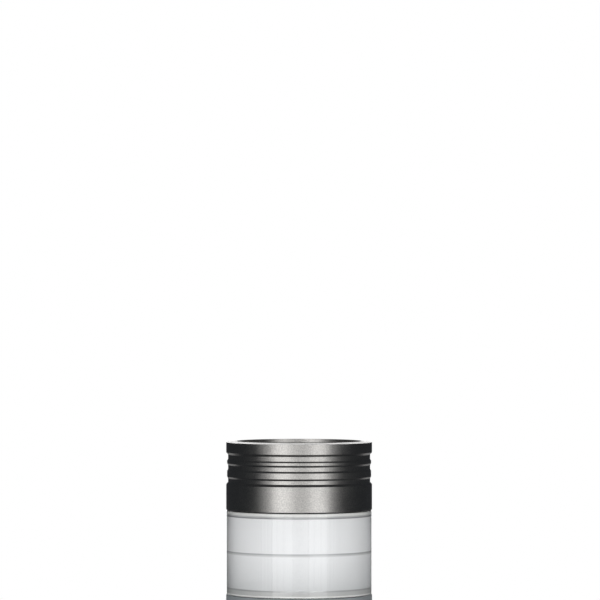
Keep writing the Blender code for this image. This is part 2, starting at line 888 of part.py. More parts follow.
def make_base():
    seat = BASE_TOP - BASE_SEAT_DROP
    shoulder = seat - BASE_SHOULDER_DROP
    outline = [
        (BASE_BORE, BASE_TOP),
        (BASE_SEAT_RADIUS, BASE_TOP),
        (BASE_SEAT_RADIUS, seat),
        (BODY_RADIUS - BASE_EDGE, seat),
        (BODY_RADIUS, seat - BASE_EDGE),
    ]
    outline += grip_outline(shoulder)
    outline += [
        (BODY_RADIUS, COLLAR_CHAMFER),
        (BODY_RADIUS - COLLAR_CHAMFER, 0.0),
        (INSERT_RADIUS + GAP, 0.0),
        (INSERT_RADIUS + GAP, BASE_FLOOR),
        (BASE_BORE, BASE_FLOOR),
    ]
    base = turned("base_collar", outline, anodised)
    head_end = SCREW_HEAD_HEIGHT + 0.2
    for number, angle in enumerate(BASE_SCREW_ANGLES, 1):
        x, y = on_circle(BASE_SCREW_CIRCLE, angle)
        counterbore(base, x, y, 0.0, head_end + GAP, BASE_TOP)
        screw(f"base_screw_{number}", x, y, 0.2, BASE_BOSS_TOP - 4)
    ring("base_gasket", BASE_SEAT_RADIUS + GAP, BODY_RADIUS - GAP, seat + GAP, BASE_TOP, rubber)

    flange_bottom = BASE_FLOOR + GAP
    floor = THREAD_DEPTH
    outline = [
        (0.0, floor + INSERT_FLOOR),
        (INSERT_RADIUS, floor + INSERT_FLOOR),
        (INSERT_RADIUS, flange_bottom + INSERT_FLANGE_THICKNESS),
        (INSERT_FLANGE, flange_bottom + INSERT_FLANGE_THICKNESS),
        (INSERT_FLANGE, flange_bottom),
        (INSERT_RADIUS, flange_bottom),
        (INSERT_RADIUS, 0.0),
        (THREAD_RADIUS, 0.0),
        (THREAD_RADIUS, floor),
        (0.0, floor),
    ]
    turned("base_thread_insert", outline, stainless, INNER_STEPS, closed=False)


make_top_collar()
make_mount_plate()
make_top_insert()
make_drum()
make_tie_rods()
make_upper_housing()
make_tracking_lights()
make_battery_housing()
make_battery_door()
make_door_latch()
make_door_gasket()
make_battery()
make_electronics()
make_power_button()
make_base()
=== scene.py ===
# %% [markdown]
# # A 360 degree survey target
# A survey target stands on a pole and sends a total station's beam back from any side.
# This one is a grooved metal collar over a drum of reflective sheeting in a clear sleeve,
# with a ring of tracking lights and a battery housing below. Every place comes from the
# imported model's own boxes, so each finer piece sits where the plain solid was.

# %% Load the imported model
import math

import bmesh
import bpy
from mathutils import Matrix, Vector


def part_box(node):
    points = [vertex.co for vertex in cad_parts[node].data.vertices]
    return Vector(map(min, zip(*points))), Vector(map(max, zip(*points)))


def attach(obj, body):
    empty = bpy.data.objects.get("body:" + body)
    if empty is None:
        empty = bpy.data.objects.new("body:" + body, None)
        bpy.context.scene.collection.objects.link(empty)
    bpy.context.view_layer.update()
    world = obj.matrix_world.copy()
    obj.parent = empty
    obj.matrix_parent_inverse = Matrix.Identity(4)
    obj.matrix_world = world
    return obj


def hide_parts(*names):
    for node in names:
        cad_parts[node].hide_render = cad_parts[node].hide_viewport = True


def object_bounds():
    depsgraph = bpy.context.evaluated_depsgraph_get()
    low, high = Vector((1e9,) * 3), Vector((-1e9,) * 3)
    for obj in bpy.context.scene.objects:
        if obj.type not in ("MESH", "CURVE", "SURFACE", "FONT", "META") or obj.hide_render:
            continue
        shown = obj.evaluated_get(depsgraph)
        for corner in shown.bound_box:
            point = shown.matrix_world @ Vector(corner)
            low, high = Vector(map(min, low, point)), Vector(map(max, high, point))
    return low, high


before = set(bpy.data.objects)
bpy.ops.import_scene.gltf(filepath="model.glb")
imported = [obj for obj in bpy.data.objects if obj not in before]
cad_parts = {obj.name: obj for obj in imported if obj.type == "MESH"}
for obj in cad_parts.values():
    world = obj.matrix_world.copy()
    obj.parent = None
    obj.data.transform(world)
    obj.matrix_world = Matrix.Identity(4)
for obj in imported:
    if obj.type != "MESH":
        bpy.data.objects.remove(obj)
cad_low, cad_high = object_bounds()
MM = 0.001
print("model box in mm:", [round(value / MM, 1) for value in (*cad_low, *cad_high)])


def levels(node):
    """Lowest and highest level of a node, in millimetres."""
    low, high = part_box(node)
    return low.z / MM, high.z / MM


def radius_of(node):
    """Half width of a node that is centred on the axis, in millimetres."""
    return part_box(node)[1].x / MM


def centre_of(node):
    """Middle of a node's box, in millimetres."""
    return tuple((low + high) / 2 / MM for low, high in zip(*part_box(node)))


def numbered(name, count):
    """Names of a set of equal nodes."""
    return [f"{name}_{i + 1}" for i in range(count)]


# %% [markdown]
# ## Camera, floor and light
# A turned metal part takes its look from what it mirrors. Two tall softboxes stand either
# side of the camera, so each round piece carries two bright bands with a dimmer line
# between them and dark flanks. Weak panels feather the bands' outer edges, and a card
# between the softboxes keeps the middle line grey. A panel behind lights the back and the
# rim's edge. The fills reach matt surfaces only, so they raise the sheeting and leave the
# metal dark. The metal doesn't mirror the floor, so two glows near it stand for the floor.
# The camera looks level from above the rim through a long lens, so rings stay almost flat.

# %% Camera
CAMERA_DISTANCE = 1815.0
CAMERA_ABOVE_RIM = 63.8
CAMERA_ASIDE = 0.4
LENS = 240.6
SENSOR_WIDTH = 36.0
FAR_CLIP = 50.0

scene = bpy.context.scene
scene.view_settings.view_transform = "Standard"
rim_level = cad_high.z / MM

camera_data = bpy.data.cameras.new("camera")
camera_data.lens = LENS
camera_data.sensor_width = SENSOR_WIDTH
camera_data.clip_end = FAR_CLIP
camera = bpy.data.objects.new("camera", camera_data)
camera.location = (CAMERA_ASIDE * MM, -CAMERA_DISTANCE * MM, (rim_level + CAMERA_ABOVE_RIM) * MM)
camera.rotation_euler = (math.radians(90), 0.0, 0.0)
scene.collection.objects.link(camera)
scene.camera = camera
print("camera height above the floor in mm:", round(camera.location.z / MM, 1))

# %% One function for nodes, one for colours


def linear(hex_colour):
    """An sRGB hex colour as the linear RGBA that a shader socket holds."""
    channels = [int(hex_colour[i : i + 2], 16) / 255 for i in (1, 3, 5)]
    straight = [c / 12.92 if c <= 0.04045 else ((c + 0.055) / 1.055) ** 2.4 for c in channels]
    return (*straight, 1.0)


def node(tree, kind, settings=None, **links):
    """Add a node: settings are its properties, links are values or sockets by input name.

    i0 is the first input, i1 the second, for nodes whose inputs share a name.
    """
    made = tree.nodes.new(kind)
    for name, value in (settings or {}).items():
        setattr(made, name, value)
    for name, value in links.items():
        key = int(name[1:]) if name[1:].isdigit() else name.replace("_", " ")
        socket = made.inputs[key]
        if isinstance(value, bpy.types.NodeSocket):
            tree.links.new(value, socket)
        else:
            socket.default_value = value
    return made


# %% World, softboxes and floor
DARK_ROOM = 0.035  # what mirrored rays meet where there is no light
SOFT_ROOM = 0.06  # what matt surfaces gather from all round
world = bpy.data.worlds.new("studio")
scene.world = world
world.use_nodes = True
sky = world.node_tree
sky.nodes.clear()
ray = node(sky, "ShaderNodeLightPath").outputs
for_diffuse = node(
    sky,
    "ShaderNodeMath",
    {"operation": "MULTIPLY_ADD"},
    i0=ray["Is Diffuse Ray"],
    i1=SOFT_ROOM - DARK_ROOM,
    i2=DARK_ROOM,
).outputs[0]
strength = node(
    sky, "ShaderNodeMath", {"operation": "MAXIMUM"}, i0=ray["Is Camera Ray"], i1=for_diffuse
).outputs[0]
cast = node(
    sky,
    "ShaderNodeMix",
    {"data_type": "RGBA"},
    i0=ray["Is Camera Ray"],
    i6=linear("#DFE9F5"),
    i7=linear("#FFFFFF"),
).outputs[2]
room = node(sky, "ShaderNodeBackground", Color=cast, Strength=strength)
node(sky, "ShaderNodeOutputWorld", Surface=room.outputs[0])


def area_light(name, place, aim, width, height, radiance, glossy=True, diffuse=True):
    """Rectangular light of a given radiance; place, aim and sizes in metres."""
    light = bpy.data.lights.new(name, "AREA")
    light.shape = "RECTANGLE"
    light.size = width
    light.size_y = height
    light.energy = radiance * math.pi * width * height
    made = bpy.data.objects.new(name, light)
    made.location = place
    made.rotation_euler = (Vector(aim) - Vector(place)).to_track_quat("-Z", "Y").to_euler()
    made.visible_camera = False
    made.visible_glossy = glossy
    made.visible_diffuse = diffuse
    scene.collection.objects.link(made)
    return made


def softbox(name, azimuth, distance, width, low, high, radiance, glossy=True):
    """Upright light at an azimuth from the camera's side, facing the axis."""
    turn = math.radians(azimuth)
    middle = (low + high) / 2
    place = (distance * math.sin(turn), -distance * math.cos(turn), middle)
    area_light(name, place, (0.0, 0.0, middle), width, high - low, radiance, glossy)


# azimuth in degrees; distance, width, lowest and highest level in metres; radiance
softbox("softbox_left", -26.3, 1.3, 0.75, -0.40, 0.80, 1.70)
softbox("softbox_right", 30.3, 1.3, 0.68, -0.40, 0.80, 1.56)
softbox("feather_left", -52.0, 1.3, 0.40, -0.40, 0.80, 0.42)
softbox("feather_right", 53.0, 1.3, 0.36, -0.40, 0.80, 0.22)
softbox("card_between", 2.5, 1.5, 0.62, -0.40, 0.80, 0.88)
softbox("panel_behind", 180.0, 1.4, 0.40, -0.4, 0.75, 1.8)
softbox("fill_left", -21.0, 1.5, 0.8, -0.5, 1.0, 1.95, glossy=False)
softbox("fill_right", 24.0, 1.5, 0.8, -0.5, 1.0, 1.95, glossy=False)
softbox("fill_behind", 180.0, 1.6, 1.6, -0.4, 1.2, 1.2, glossy=False)

CEILING = 1.8
WASH_SIZE = 1.8
GLOW_LEVEL = 0.002


def downlight(name, height, radiance):
    """Wide light above the model that looks down and isn't mirrored."""
    centre = (0.0, 0.0, 0.0)
    above = (0.0, 0.0, height)
    return area_light(name, above, centre, WASH_SIZE, WASH_SIZE, radiance, glossy=False)


def floor_glow(name, x, y, width, depth, radiance):
    """Light just above the floor that only mirrored rays see."""
    spot = (x, y, GLOW_LEVEL)
    area_light(name, spot, (x, y, 1.0), width, depth, radiance, diffuse=False)


downlight("overhead", CEILING - 0.1, 0.35)
floor_glow("glow_behind", 0.0, 0.52, 0.9, 0.6, 0.3)
floor_glow("glow_before", 0.34, -0.34, 0.44, 0.44, 0.45)

FLOOR_RADIUS = 1.2
floor_mesh = bpy.data.meshes.new("floor")
disc = bmesh.new()
bmesh.ops.create_circle(disc, cap_ends=True, segments=96, radius=FLOOR_RADIUS)
disc.to_mesh(floor_mesh)
disc.free()
floor = bpy.data.objects.new("floor", floor_mesh)
scene.collection.objects.link(floor)
floor_paint = bpy.data.materials.new("matt_white_floor")
floor_paint.use_nodes = True
floor_shader = floor_paint.node_tree.nodes["Principled BSDF"]
floor_shader.inputs["Base Color"].default_value = linear("#F6F6F4")
floor_shader.inputs["Roughness"].default_value = 0.9
floor_mesh.materials.append(floor_paint)
floor.visible_glossy = False
# A light for the floor alone keeps it pale without lighting the model from above.
floor_only = bpy.data.collections.new("floor_only")
floor_only.objects.link(floor)
floor_wash = downlight("floor_wash", CEILING, 1.35)
floor_wash.light_linking.receiver_collection = floor_only

# %% [markdown]
# ## Turning a piece
# A lathe makes most of these pieces: a cutter follows an outline while the metal spins.
# Geometry Nodes do the same. The outline is a chain of edges, Mesh to Curve makes it a
# profile, and Curve to Mesh carries it round a circle. One tree serves every turned piece,
# with the number of steps, the finish and the circle's radius as inputs. Real edges are
# never sharp, so a helper rounds each corner with an arc, and adds a point just before and
# after the arc to keep the flats flat in the shading. An outline point is a radius and a
# level in millimetres, then the rounding of that corner.

# %% The turning tree
REFERENCE_RADIUS = 10.0
TURN_STEPS = 160
FINE_STEPS = 256
WELD = 0.000002
SLIVER = 1e-7
SMOOTH_ANGLE = 30.0
ARC_GUARD = 0.06


def new_tree(name, inputs):
    """Geometry Nodes tree with a Geometry input and output and the named inputs."""
    tree = bpy.data.node_groups.new(name, "GeometryNodeTree")
    tree.interface.new_socket(name="Geometry", in_out="INPUT", socket_type="NodeSocketGeometry")
    for label, kind in inputs.items():
        tree.interface.new_socket(name=label, in_out="INPUT", socket_type="NodeSocket" + kind)
    tree.interface.new_socket(name="Geometry", in_out="OUTPUT", socket_type="NodeSocketGeometry")
    return tree, tree.nodes.new("NodeGroupInput").outputs


def close_tree(tree, geometry, finish):
    """End a tree in Realize Instances and Set Material."""
    real = node(tree, "GeometryNodeRealizeInstances", Geometry=geometry)
    painted = node(tree, "GeometryNodeSetMaterial", Geometry=real.outputs[0], Material=finish)
    node(tree, "NodeGroupOutput", Geometry=painted.outputs[0])


def set_copies(tree, shape, points, finish, **links):
    """Set copies of an object on points, and end the tree."""
    info = node(tree, "GeometryNodeObjectInfo", Object=shape)
    links.update(Points=points.outputs[0], Instance=info.outputs["Geometry"])
    copies = node(tree, "GeometryNodeInstanceOnPoints", **links)
    close_tree(tree, copies.outputs[0], finish)


turning, given = new_tree("turned_piece", {"Steps": "Int", "Circle": "Float", "Finish": "Material"})
profile = node(turning, "GeometryNodeMeshToCurve", Mesh=given["Geometry"])
circle = node(
    turning, "GeometryNodeCurvePrimitiveCircle", Resolution=given["Steps"], Radius=given["Circle"]
)
swept = node(
    turning,
    "GeometryNodeCurveToMesh",
    Curve=circle.outputs["Curve"],
    Profile_Curve=profile.outputs[0],
)
joined = node(turning, "GeometryNodeMergeByDistance", Geometry=swept.outputs[0], Distance=WELD)
close_tree(turning, joined.outputs[0], given["Finish"])


def run_tree(name, mesh, tree, inputs):
    """Evaluate a tree on a mesh and return the result as a plain object without modifiers."""
    made = bpy.data.objects.new(name, mesh)
    scene.collection.objects.link(made)
    modifier = made.modifiers.new(tree.name, "NODES")
    modifier.node_group = tree
    for item in tree.interface.items_tree:
        if item.in_out == "INPUT" and item.name in inputs:
            modifier[item.identifier] = inputs[item.name]
    return settle(made)


def settle(made):
    """Turn an object's modifiers into its mesh, facing outwards, shaded smooth up to an angle."""
    graph = bpy.context.evaluated_depsgraph_get()
    result = bpy.data.meshes.new_from_object(made.evaluated_get(graph))
    made.modifiers.clear()
    made.data = result
    shape = bmesh.new()
    shape.from_mesh(result)
    bmesh.ops.dissolve_degenerate(shape, dist=SLIVER, edges=shape.edges)
    if shape.calc_volume(signed=True) < 0:
        bmesh.ops.reverse_faces(shape, faces=shape.faces)
    shape.to_mesh(result)
    shape.free()
    result.shade_smooth()
    result.set_sharp_from_angle(angle=math.radians(SMOOTH_ANGLE))
    return made


def rounded(points, arc=3, closed=True):
    """Round an outline's corners with arcs, each no wider than its edges allow."""
    count = len(points)
    result = []
    for i, point in enumerate(points):
        here = Vector(point[:2])
        size = point[2]
        if size == 0 or (not closed and i in (0, count - 1)):
            result.append(tuple(here))
            continue
        back = Vector(points[i - 1][:2]) - here
        ahead = Vector(points[(i + 1) % count][:2]) - here
        half = back.angle(ahead) / 2
        reach = min(size / math.tan(half), 0.42 * back.length, 0.42 * ahead.length)
        size = reach * math.tan(half)
        back.normalize()
        ahead.normalize()
        middle = here + (back + ahead).normalized() * (size / math.sin(half))
        first = here + back * reach - middle
        last = here + ahead * reach - middle
        result.append(tuple(here + back * (reach + ARC_GUARD)))
        for step in range(arc + 1):
            spoke = first.lerp(last, step / arc).normalized() * size
            result.append(tuple(middle + spoke))
        result.append(tuple(here + ahead * (reach + ARC_GUARD)))
    return result


def turned(name, outline, finish, closed=True, steps=TURN_STEPS):
    """Turn an outline of (radius, level) points, in millimetres, about the model's axis."""
    mesh = bpy.data.meshes.new(name)
    points = [((r - REFERENCE_RADIUS) * MM, -z * MM, 0.0) for r, z in outline]
    edges = [(i, i + 1) for i in range(len(points) - 1)]
    if closed:
        edges.append((len(points) - 1, 0))
    mesh.from_pydata(points, edges, [])
    inputs = {"Steps": steps, "Circle": REFERENCE_RADIUS * MM, "Finish": finish}
    return run_tree(name, mesh, turning, inputs)


def section(inner, outer, bottom, top, inner_rounding, outer_rounding):
    """Outline of a ring with a rectangular section."""
    return [
        (inner, top, inner_rounding),
        (outer, top, outer_rounding),
        (outer, bottom, outer_rounding),
        (inner, bottom, inner_rounding),
    ]


def turned_ring(name, points, finish, steps=TURN_STEPS):
    """Turn a hollow piece from an outline that closes on itself."""
    return turned(name, rounded(points), finish, steps=steps)


def turned_solid(name, points, finish, steps=TURN_STEPS):
    """Turn a solid piece from an outline that starts and ends on the axis."""
    return turned(name, rounded(points, closed=False), finish, closed=False, steps=steps)


def move(made, x, y, z, turn=None):
    """Move a piece's mesh by millimetres, turned first if asked."""
    shift = Matrix.Translation((x * MM, y * MM, z * MM))
    made.data.transform(shift @ turn if turn else shift)


def place(piece, finish_slot, *nodes, body="target_body"):
    """Let a piece ride on a body and hide the nodes it stands for; finish_slot is not used."""
    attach(piece, body)
    if nodes:
        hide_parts(*nodes)
    print(piece.name, len(piece.data.polygons), "faces")
    return piece


# %% [markdown]
# ## Finishes
# Each finish is a short function that builds a Principled material. Patterns read Object
# coordinates, which are metres here, so a grain of a given size in millimetres has the
# scale 1 / (size x 0.001).

# %% Helpers for finishes


def start_finish(name, base, roughness, metallic=0.0, **uniform):
    """Material with a Principled shader whose uniform values sit on its own sockets."""
    made = bpy.data.materials.new(name)
    made.use_nodes = True
    tree = made.node_tree
    shader = tree.nodes["Principled BSDF"]
    shader.inputs["Base Color"].default_value = linear(base)
    shader.inputs["Roughness"].default_value = roughness
    shader.inputs["Metallic"].default_value = metallic
    for label, value in uniform.items():
        shader.inputs[label.replace("_", " ")].default_value = value
    where = node(tree, "ShaderNodeTexCoord").outputs["Object"]
    return made, tree, shader, where


def grain(tree, where, size_mm, detail=2.0, stretch=(1.0, 1.0, 1.0)):
    """Noise whose cells are about size_mm across, as a 0 to 1 socket."""
    spread = node(tree, "ShaderNodeMapping", Vector=where, Scale=stretch)
    return node(
        tree,
        "ShaderNodeTexNoise",
        Vector=spread.outputs[0],
        Scale=1.0 / (size_mm * MM),
        Detail=detail,
        Roughness=0.6,
    ).outputs[0]


def vary_roughness(tree, shader, noise, smooth, rough):
    """Let a noise carry the roughness between two values."""
    spread = node(
        tree,
        "ShaderNodeMapRange",
        Value=noise,
        From_Min=0.3,
        From_Max=0.7,
        To_Min=smooth,
        To_Max=rough,
    )
    tree.links.new(spread.outputs[0], shader.inputs["Roughness"])


# %% [markdown]
# ### Bead-blasted, anodised aluminium
# The collars are turned, blasted with glass beads and anodised grey. Blasting leaves a fine
# even pitting that spreads highlights, and the beads' marks sparkle a little. The pits are
# about 0.1 mm, too fine to see from two metres, so they are drawn at 0.45 mm.

# %% Metal finishes
BEAD_MARK = 0.45
HANDLING_MARK = 9.0
TOOL_MARK = 0.25


def anodised_aluminium():
    """Satin grey metal: broad soft highlights with a fine speckle in them."""
    made, tree, shader, where = start_finish(
        "bead_blasted_anodised_aluminium", "#BDBBB8", 0.32, 1.0
    )
    pits = grain(tree, where, BEAD_MARK, 1.0)
    sparkle = node(
        tree, "ShaderNodeMapRange", Value=pits, From_Min=0.36, From_Max=0.64
    ).outputs[0]
    tone = node(
        tree,
        "ShaderNodeMix",
        {"data_type": "RGBA"},
        i0=sparkle,
        i6=linear("#ADABA9"),
        i7=linear("#C6C4C0"),
    ).outputs[2]
    tree.links.new(tone, shader.inputs["Base Color"])
    cloud = grain(tree, where, HANDLING_MARK)
    vary_roughness(tree, shader, cloud, 0.29, 0.35)
    relief = node(tree, "ShaderNodeBump", Height=pits, Distance=0.02 * MM, Strength=1.0)
    tree.links.new(relief.outputs[0], shader.inputs["Normal"])
    return made


def turned_metal(name, base, roughness=0.24):
    """Bare turned metal: the tool leaves rings, seen as fine bands across the height."""
    made, tree, shader, where = start_finish(name, base, roughness, 1.0)
    rings = grain(tree, where, TOOL_MARK, 1.0, (0.02, 0.02, 1.0))
    vary_roughness(tree, shader, rings, roughness - 0.06, roughness + 0.1)
    relief = node(tree, "ShaderNodeBump", Height=rings, Distance=0.006 * MM, Strength=1.0)
    tree.links.new(relief.outputs[0], shader.inputs["Normal"])
    return made


anodised = anodised_aluminium()
stainless = turned_metal("turned_stainless_steel", "#B9B6B0")
bare_aluminium = turned_metal("turned_aluminium", "#C9CACB", 0.3)
brass = turned_metal("pressed_brass", "#C9A35A", 0.28)

# %% [markdown]
# ### Microprism sheeting
# Reflective sheeting is a clear film with rows of tiny corner cubes moulded into its back,
# sealed to a white liner. Near the viewer's own light it glows; in soft light it is a cool
# silver white with a faint cell pattern. The cubes are about 0.2 mm, drawn here at 0.8 mm.
# Towards the foot of the drum the film's colour is painted a little greyer, as painted shade
# for the light that gets in less there behind the sleeve.

# %% Sheeting and plastics
PRISM_CELL = 0.8


def microprism_sheeting(name, foot, head):
    """Silver-white film; foot and head are levels in mm between which its painted shade clears."""
    made, tree, shader, where = start_finish(name, "#E9EAEA", 0.5, Specular_IOR_Level=0.1)
    cells = node(
        tree,
        "ShaderNodeTexVoronoi",
        {"feature": "DISTANCE_TO_EDGE"},
        Vector=where,
        Scale=1.0 / (PRISM_CELL * MM),
        Randomness=0.25,
    )
    walls = node(
        tree, "ShaderNodeMapRange", Value=cells.outputs[0], From_Min=0.0, From_Max=0.2
    ).outputs[0]
    level = node(tree, "ShaderNodeSeparateXYZ", Vector=where).outputs["Z"]
    clearing = node(
        tree, "ShaderNodeMapRange", Value=level, From_Min=foot * MM, From_Max=head * MM
    ).outputs[0]
    eased = node(tree, "ShaderNodeMath", {"operation": "POWER"}, i0=clearing, i1=0.6).outputs[0]
    # Grey at the foot, clearing upwards: painted shade in the film's colour.
    film = node(
        tree,
        "ShaderNodeMix",
        {"data_type": "RGBA"},
        i0=eased,
        i6=linear("#D4D6D7"),
        i7=linear("#F0F1F2"),
    ).outputs[2]
    net = node(
        tree,
        "ShaderNodeMix",
        {"data_type": "RGBA"},
        i0=walls,
        i6=linear("#E9E9EA"),
        i7=linear("#FFFFFF"),
    ).outputs[2]
    fine = node(
        tree,
        "ShaderNodeMix",
        {"data_type": "RGBA", "blend_type": "MULTIPLY"},
        i0=0.35,
        i6=film,
        i7=net,
    )
    tree.links.new(fine.outputs[2], shader.inputs["Base Color"])
    relief = node(tree, "ShaderNodeBump", Height=walls, Distance=0.02 * MM, Strength=0.5)
    tree.links.new(relief.outputs[0], shader.inputs["Normal"])
    return made


def moulded_plastic(name, base, roughness, texture_mm=0.3, depth_mm=0.012, **uniform):
    """Injection-moulded plastic with the fine spark-eroded texture of its mould."""
    made, tree, shader, where = start_finish(name, base, roughness, **uniform)
    texture = grain(tree, where, texture_mm, 2.0)
    vary_roughness(tree, shader, texture, roughness - 0.07, roughness + 0.1)
    relief = node(tree, "ShaderNodeBump", Height=texture, Distance=depth_mm * MM, Strength=1.0)
    tree.links.new(relief.outputs[0], shader.inputs["Normal"])
    return made


grey_abs = moulded_plastic("moulded_grey_abs", "#8B9093", 0.42)
white_acetal = moulded_plastic("turned_white_acetal", "#E8E8E6", 0.35)
# The lower end ring is the same white acetal, painted greyer as painted shade.
shaded_white_acetal = moulded_plastic("turned_white_acetal_painted_shade", "#BFC0BF", 0.4)
black_abs = moulded_plastic("moulded_black_abs", "#2B2C2E", 0.45)
silicone = moulded_plastic("moulded_black_silicone", "#333437", 0.55, 0.5, 0.02)
nitrile = moulded_plastic("moulded_nitrile_rubber", "#1B1B1C", 0.62, 0.4, 0.02)
battery_wrap = moulded_plastic("moulded_battery_case", "#2C3036", 0.4, 0.25)

# %% [markdown]
# ### Clear, smoked and tinted plastics
# The sleeve is polished cast acrylic. Its sharp reflections over the soft white sheeting
# are what tell the eye that the drum is behind a window. Shadow rays pass straight through
# it, as light does through a thin clear wall. The lights' window is dyed so dark that it
# looks black, yet passes infrared.

# %% Clear finishes


def acrylic(name, base, roughness=0.012):
    """Polished clear plastic, a little less smooth where it has been handled."""
    made, tree, shader, where = start_finish(
        name, base, roughness, Transmission_Weight=1.0, IOR=1.49
    )
    handling = grain(tree, where, 14.0, 3.0)
    vary_roughness(tree, shader, handling, roughness * 0.5, roughness * 2.5)
    passing = node(tree, "ShaderNodeBsdfTransparent", Color=linear(base))
    ray = node(tree, "ShaderNodeLightPath")
    either_way = node(
        tree,
        "ShaderNodeMixShader",
        i0=ray.outputs["Is Shadow Ray"],
        i1=shader.outputs[0],
        i2=passing.outputs[0],
    )
    tree.links.new(either_way.outputs[0], tree.nodes["Material Output"].inputs["Surface"])
    return made


clear_acrylic = acrylic("cast_clear_acrylic", "#FDFDFD")
smoked_acrylic = acrylic("infrared_smoked_acrylic", "#706A6E", 0.02)
led_epoxy = acrylic("tinted_led_epoxy", "#B9B2D8", 0.03)
TRACK_PITCH = 2.2


def circuit_board():
    """Green solder mask over copper tracks, which show as a slightly lighter pattern."""
    made, tree, shader, where = start_finish("solder_masked_laminate", "#12502E", 0.35)
    tracks = node(
        tree,
        "ShaderNodeTexVoronoi",
        {"feature": "DISTANCE_TO_EDGE", "distance": "MANHATTAN"},
        Vector=where,
        Scale=1.0 / (TRACK_PITCH * MM),
        Randomness=0.7,
    )
    copper = node(
        tree,
        "ShaderNodeMapRange",
        Value=tracks.outputs[0],
        From_Min=0.03,
        From_Max=0.09,
        To_Min=1.0,
        To_Max=0.0,
    ).outputs[0]
    tone = node(
        tree,
        "ShaderNodeMix",
        {"data_type": "RGBA"},
        i0=copper,
        i6=linear("#0E4527"),
        i7=linear("#2B7A4B"),
    ).outputs[2]
    tree.links.new(tone, shader.inputs["Base Color"])
    relief = node(tree, "ShaderNodeBump", Height=copper, Distance=0.03 * MM, Strength=1.0)
    tree.links.new(relief.outputs[0], shader.inputs["Normal"])
    return made


laminate = circuit_board()
print("finishes:", len(bpy.data.materials))

# %% [markdown]
# ## Top collar
# The collar is the grip and the guard for the mounting recess. Its outline has a bevelled
# rim, a narrow land, three grooves with two ribs between them and a wide land. It ends a
# little above the plain solid's foot, to leave room for the dark seal that shows there. The
# grip is the same on the base, so it is one list of runs from the upper shoulder down.

# %% Collar outlines
BODY_RADIUS = radius_of("top_collar")
GROOVE_RADIUS = 32.14
RIB_RADIUS = 32.6
MOUTH_RADIUS = 28.3
MOUTH_TAPER = 0.15
TAPER_DEPTH = 1.5
END_CHAMFER = 0.6
SKIRT_RADIUS = 29.0
LIP_RADIUS = 31.9
RIM_DROP = 0.5
TOP_LAND = 4.56
GASKET_INNER = 29.4
LEDGE_RADIUS = 21.5
LEDGE_THICKNESS = 4.0
CLEARANCE = 0.3
GRIP_RUNS = (
    (GROOVE_RADIUS, 1.0),
    (GROOVE_RADIUS, 2.06),
    (RIB_RADIUS, 0.68),
    (RIB_RADIUS, 1.18),
    (GROOVE_RADIUS, 0.8),
    (GROOVE_RADIUS, 1.85),
    (RIB_RADIUS, 0.8),
    (RIB_RADIUS, 2.57),
    (GROOVE_RADIUS, 0.8),
    (GROOVE_RADIUS, 1.63),
    (BODY_RADIUS, 1.05),
)
CRISP = 0.05
SOFT_EDGE = 0.3
EDGE_BREAK = 0.12
SEAL_SHOW = 0.48


def grip_outline(shoulder):
    """Grooved grip from its upper shoulder down."""
    points = [(BODY_RADIUS, shoulder, CRISP)]
    level = shoulder
    for radius, run in GRIP_RUNS:
        level -= run
        points.append((radius, level, CRISP))
    return points


# %% Top collar
collar_end, rim = levels("top_collar")
plate_bottom, plate_top = levels("mount_plate")
gasket_top = levels("sleeve_gasket_top")[1]
ledge_top = plate_bottom - CLEARANCE
ledge_bottom = ledge_top - LEDGE_THICKNESS
collar_end += SEAL_SHOW
outline = [(MOUTH_RADIUS, rim, 0.08), (BODY_RADIUS, rim - RIM_DROP, 0.06)]
outline += grip_outline(rim - RIM_DROP - TOP_LAND)
outline += [
    (BODY_RADIUS, collar_end + EDGE_BREAK, CRISP),
    (BODY_RADIUS - EDGE_BREAK, collar_end, CRISP),
    (LIP_RADIUS, collar_end, CRISP),
    (LIP_RADIUS, gasket_top + CLEARANCE, 0),
    (SKIRT_RADIUS, gasket_top + CLEARANCE, 0),
    (SKIRT_RADIUS, ledge_bottom, 0.5),
    (LEDGE_RADIUS, ledge_bottom, SOFT_EDGE),
    (LEDGE_RADIUS, ledge_top, SOFT_EDGE),
    (MOUTH_RADIUS - MOUTH_TAPER, ledge_top, SOFT_EDGE),
    (MOUTH_RADIUS - MOUTH_TAPER, rim - TAPER_DEPTH, SOFT_EDGE),
]
top_collar = turned_ring("top_collar_turned", outline, anodised)
place(top_collar, "gunmetal_anodised", "top_collar")

# %% [markdown]
# ## Mounting plate, thread inserts and screws
# A plate closes the recess and holds a stainless insert with a 5/8 inch by 11 thread, the
# size of every survey pole. The thread is a ridge that climbs one pitch a turn, so a tree
# sweeps a small triangle along a spiral. Screws repeat, so a tree sets one screw on a list
# of points.

# %% Thread and fastener trees
THREAD_PITCH = 25.4 / 11
THREAD_MAJOR = 7.94
THREAD_DEPTH = 1.15
THREAD_ROOT = 0.12
THREAD_STEPS = 48
THREAD_SLACK = 0.01
THREAD_RUNOUT = 0.4
THREAD_LEAD = 0.6
INSERT_RADIUS = 12.0
INSERT_FLANGE = 15.0
INSERT_FLANGE_THICKNESS = 2.0
INSERT_FLOOR = 2.0

thread_tree, given = new_tree(
    "thread_ridge",
    {"Turns": "Float", "Radius": "Float", "Height": "Float", "Steps": "Int", "Finish": "Material"},
)
climb = node(
    thread_tree,
    "GeometryNodeCurveSpiral",
    Resolution=given["Steps"],
    Rotations=given["Turns"],
    Start_Radius=given["Radius"],
    End_Radius=given["Radius"],
    Height=given["Height"],
)
upright = node(thread_tree, "GeometryNodeSetCurveNormal", {"mode": "Z_UP"}, Curve=climb.outputs[0])
tooth = node(thread_tree, "GeometryNodeMeshToCurve", Mesh=given["Geometry"])
ridge = node(
    thread_tree,
    "GeometryNodeCurveToMesh",
    Curve=upright.outputs[0],
    Profile_Curve=tooth.outputs[0],
    Fill_Caps=True,
)
close_tree(thread_tree, ridge.outputs[0], given["Finish"])

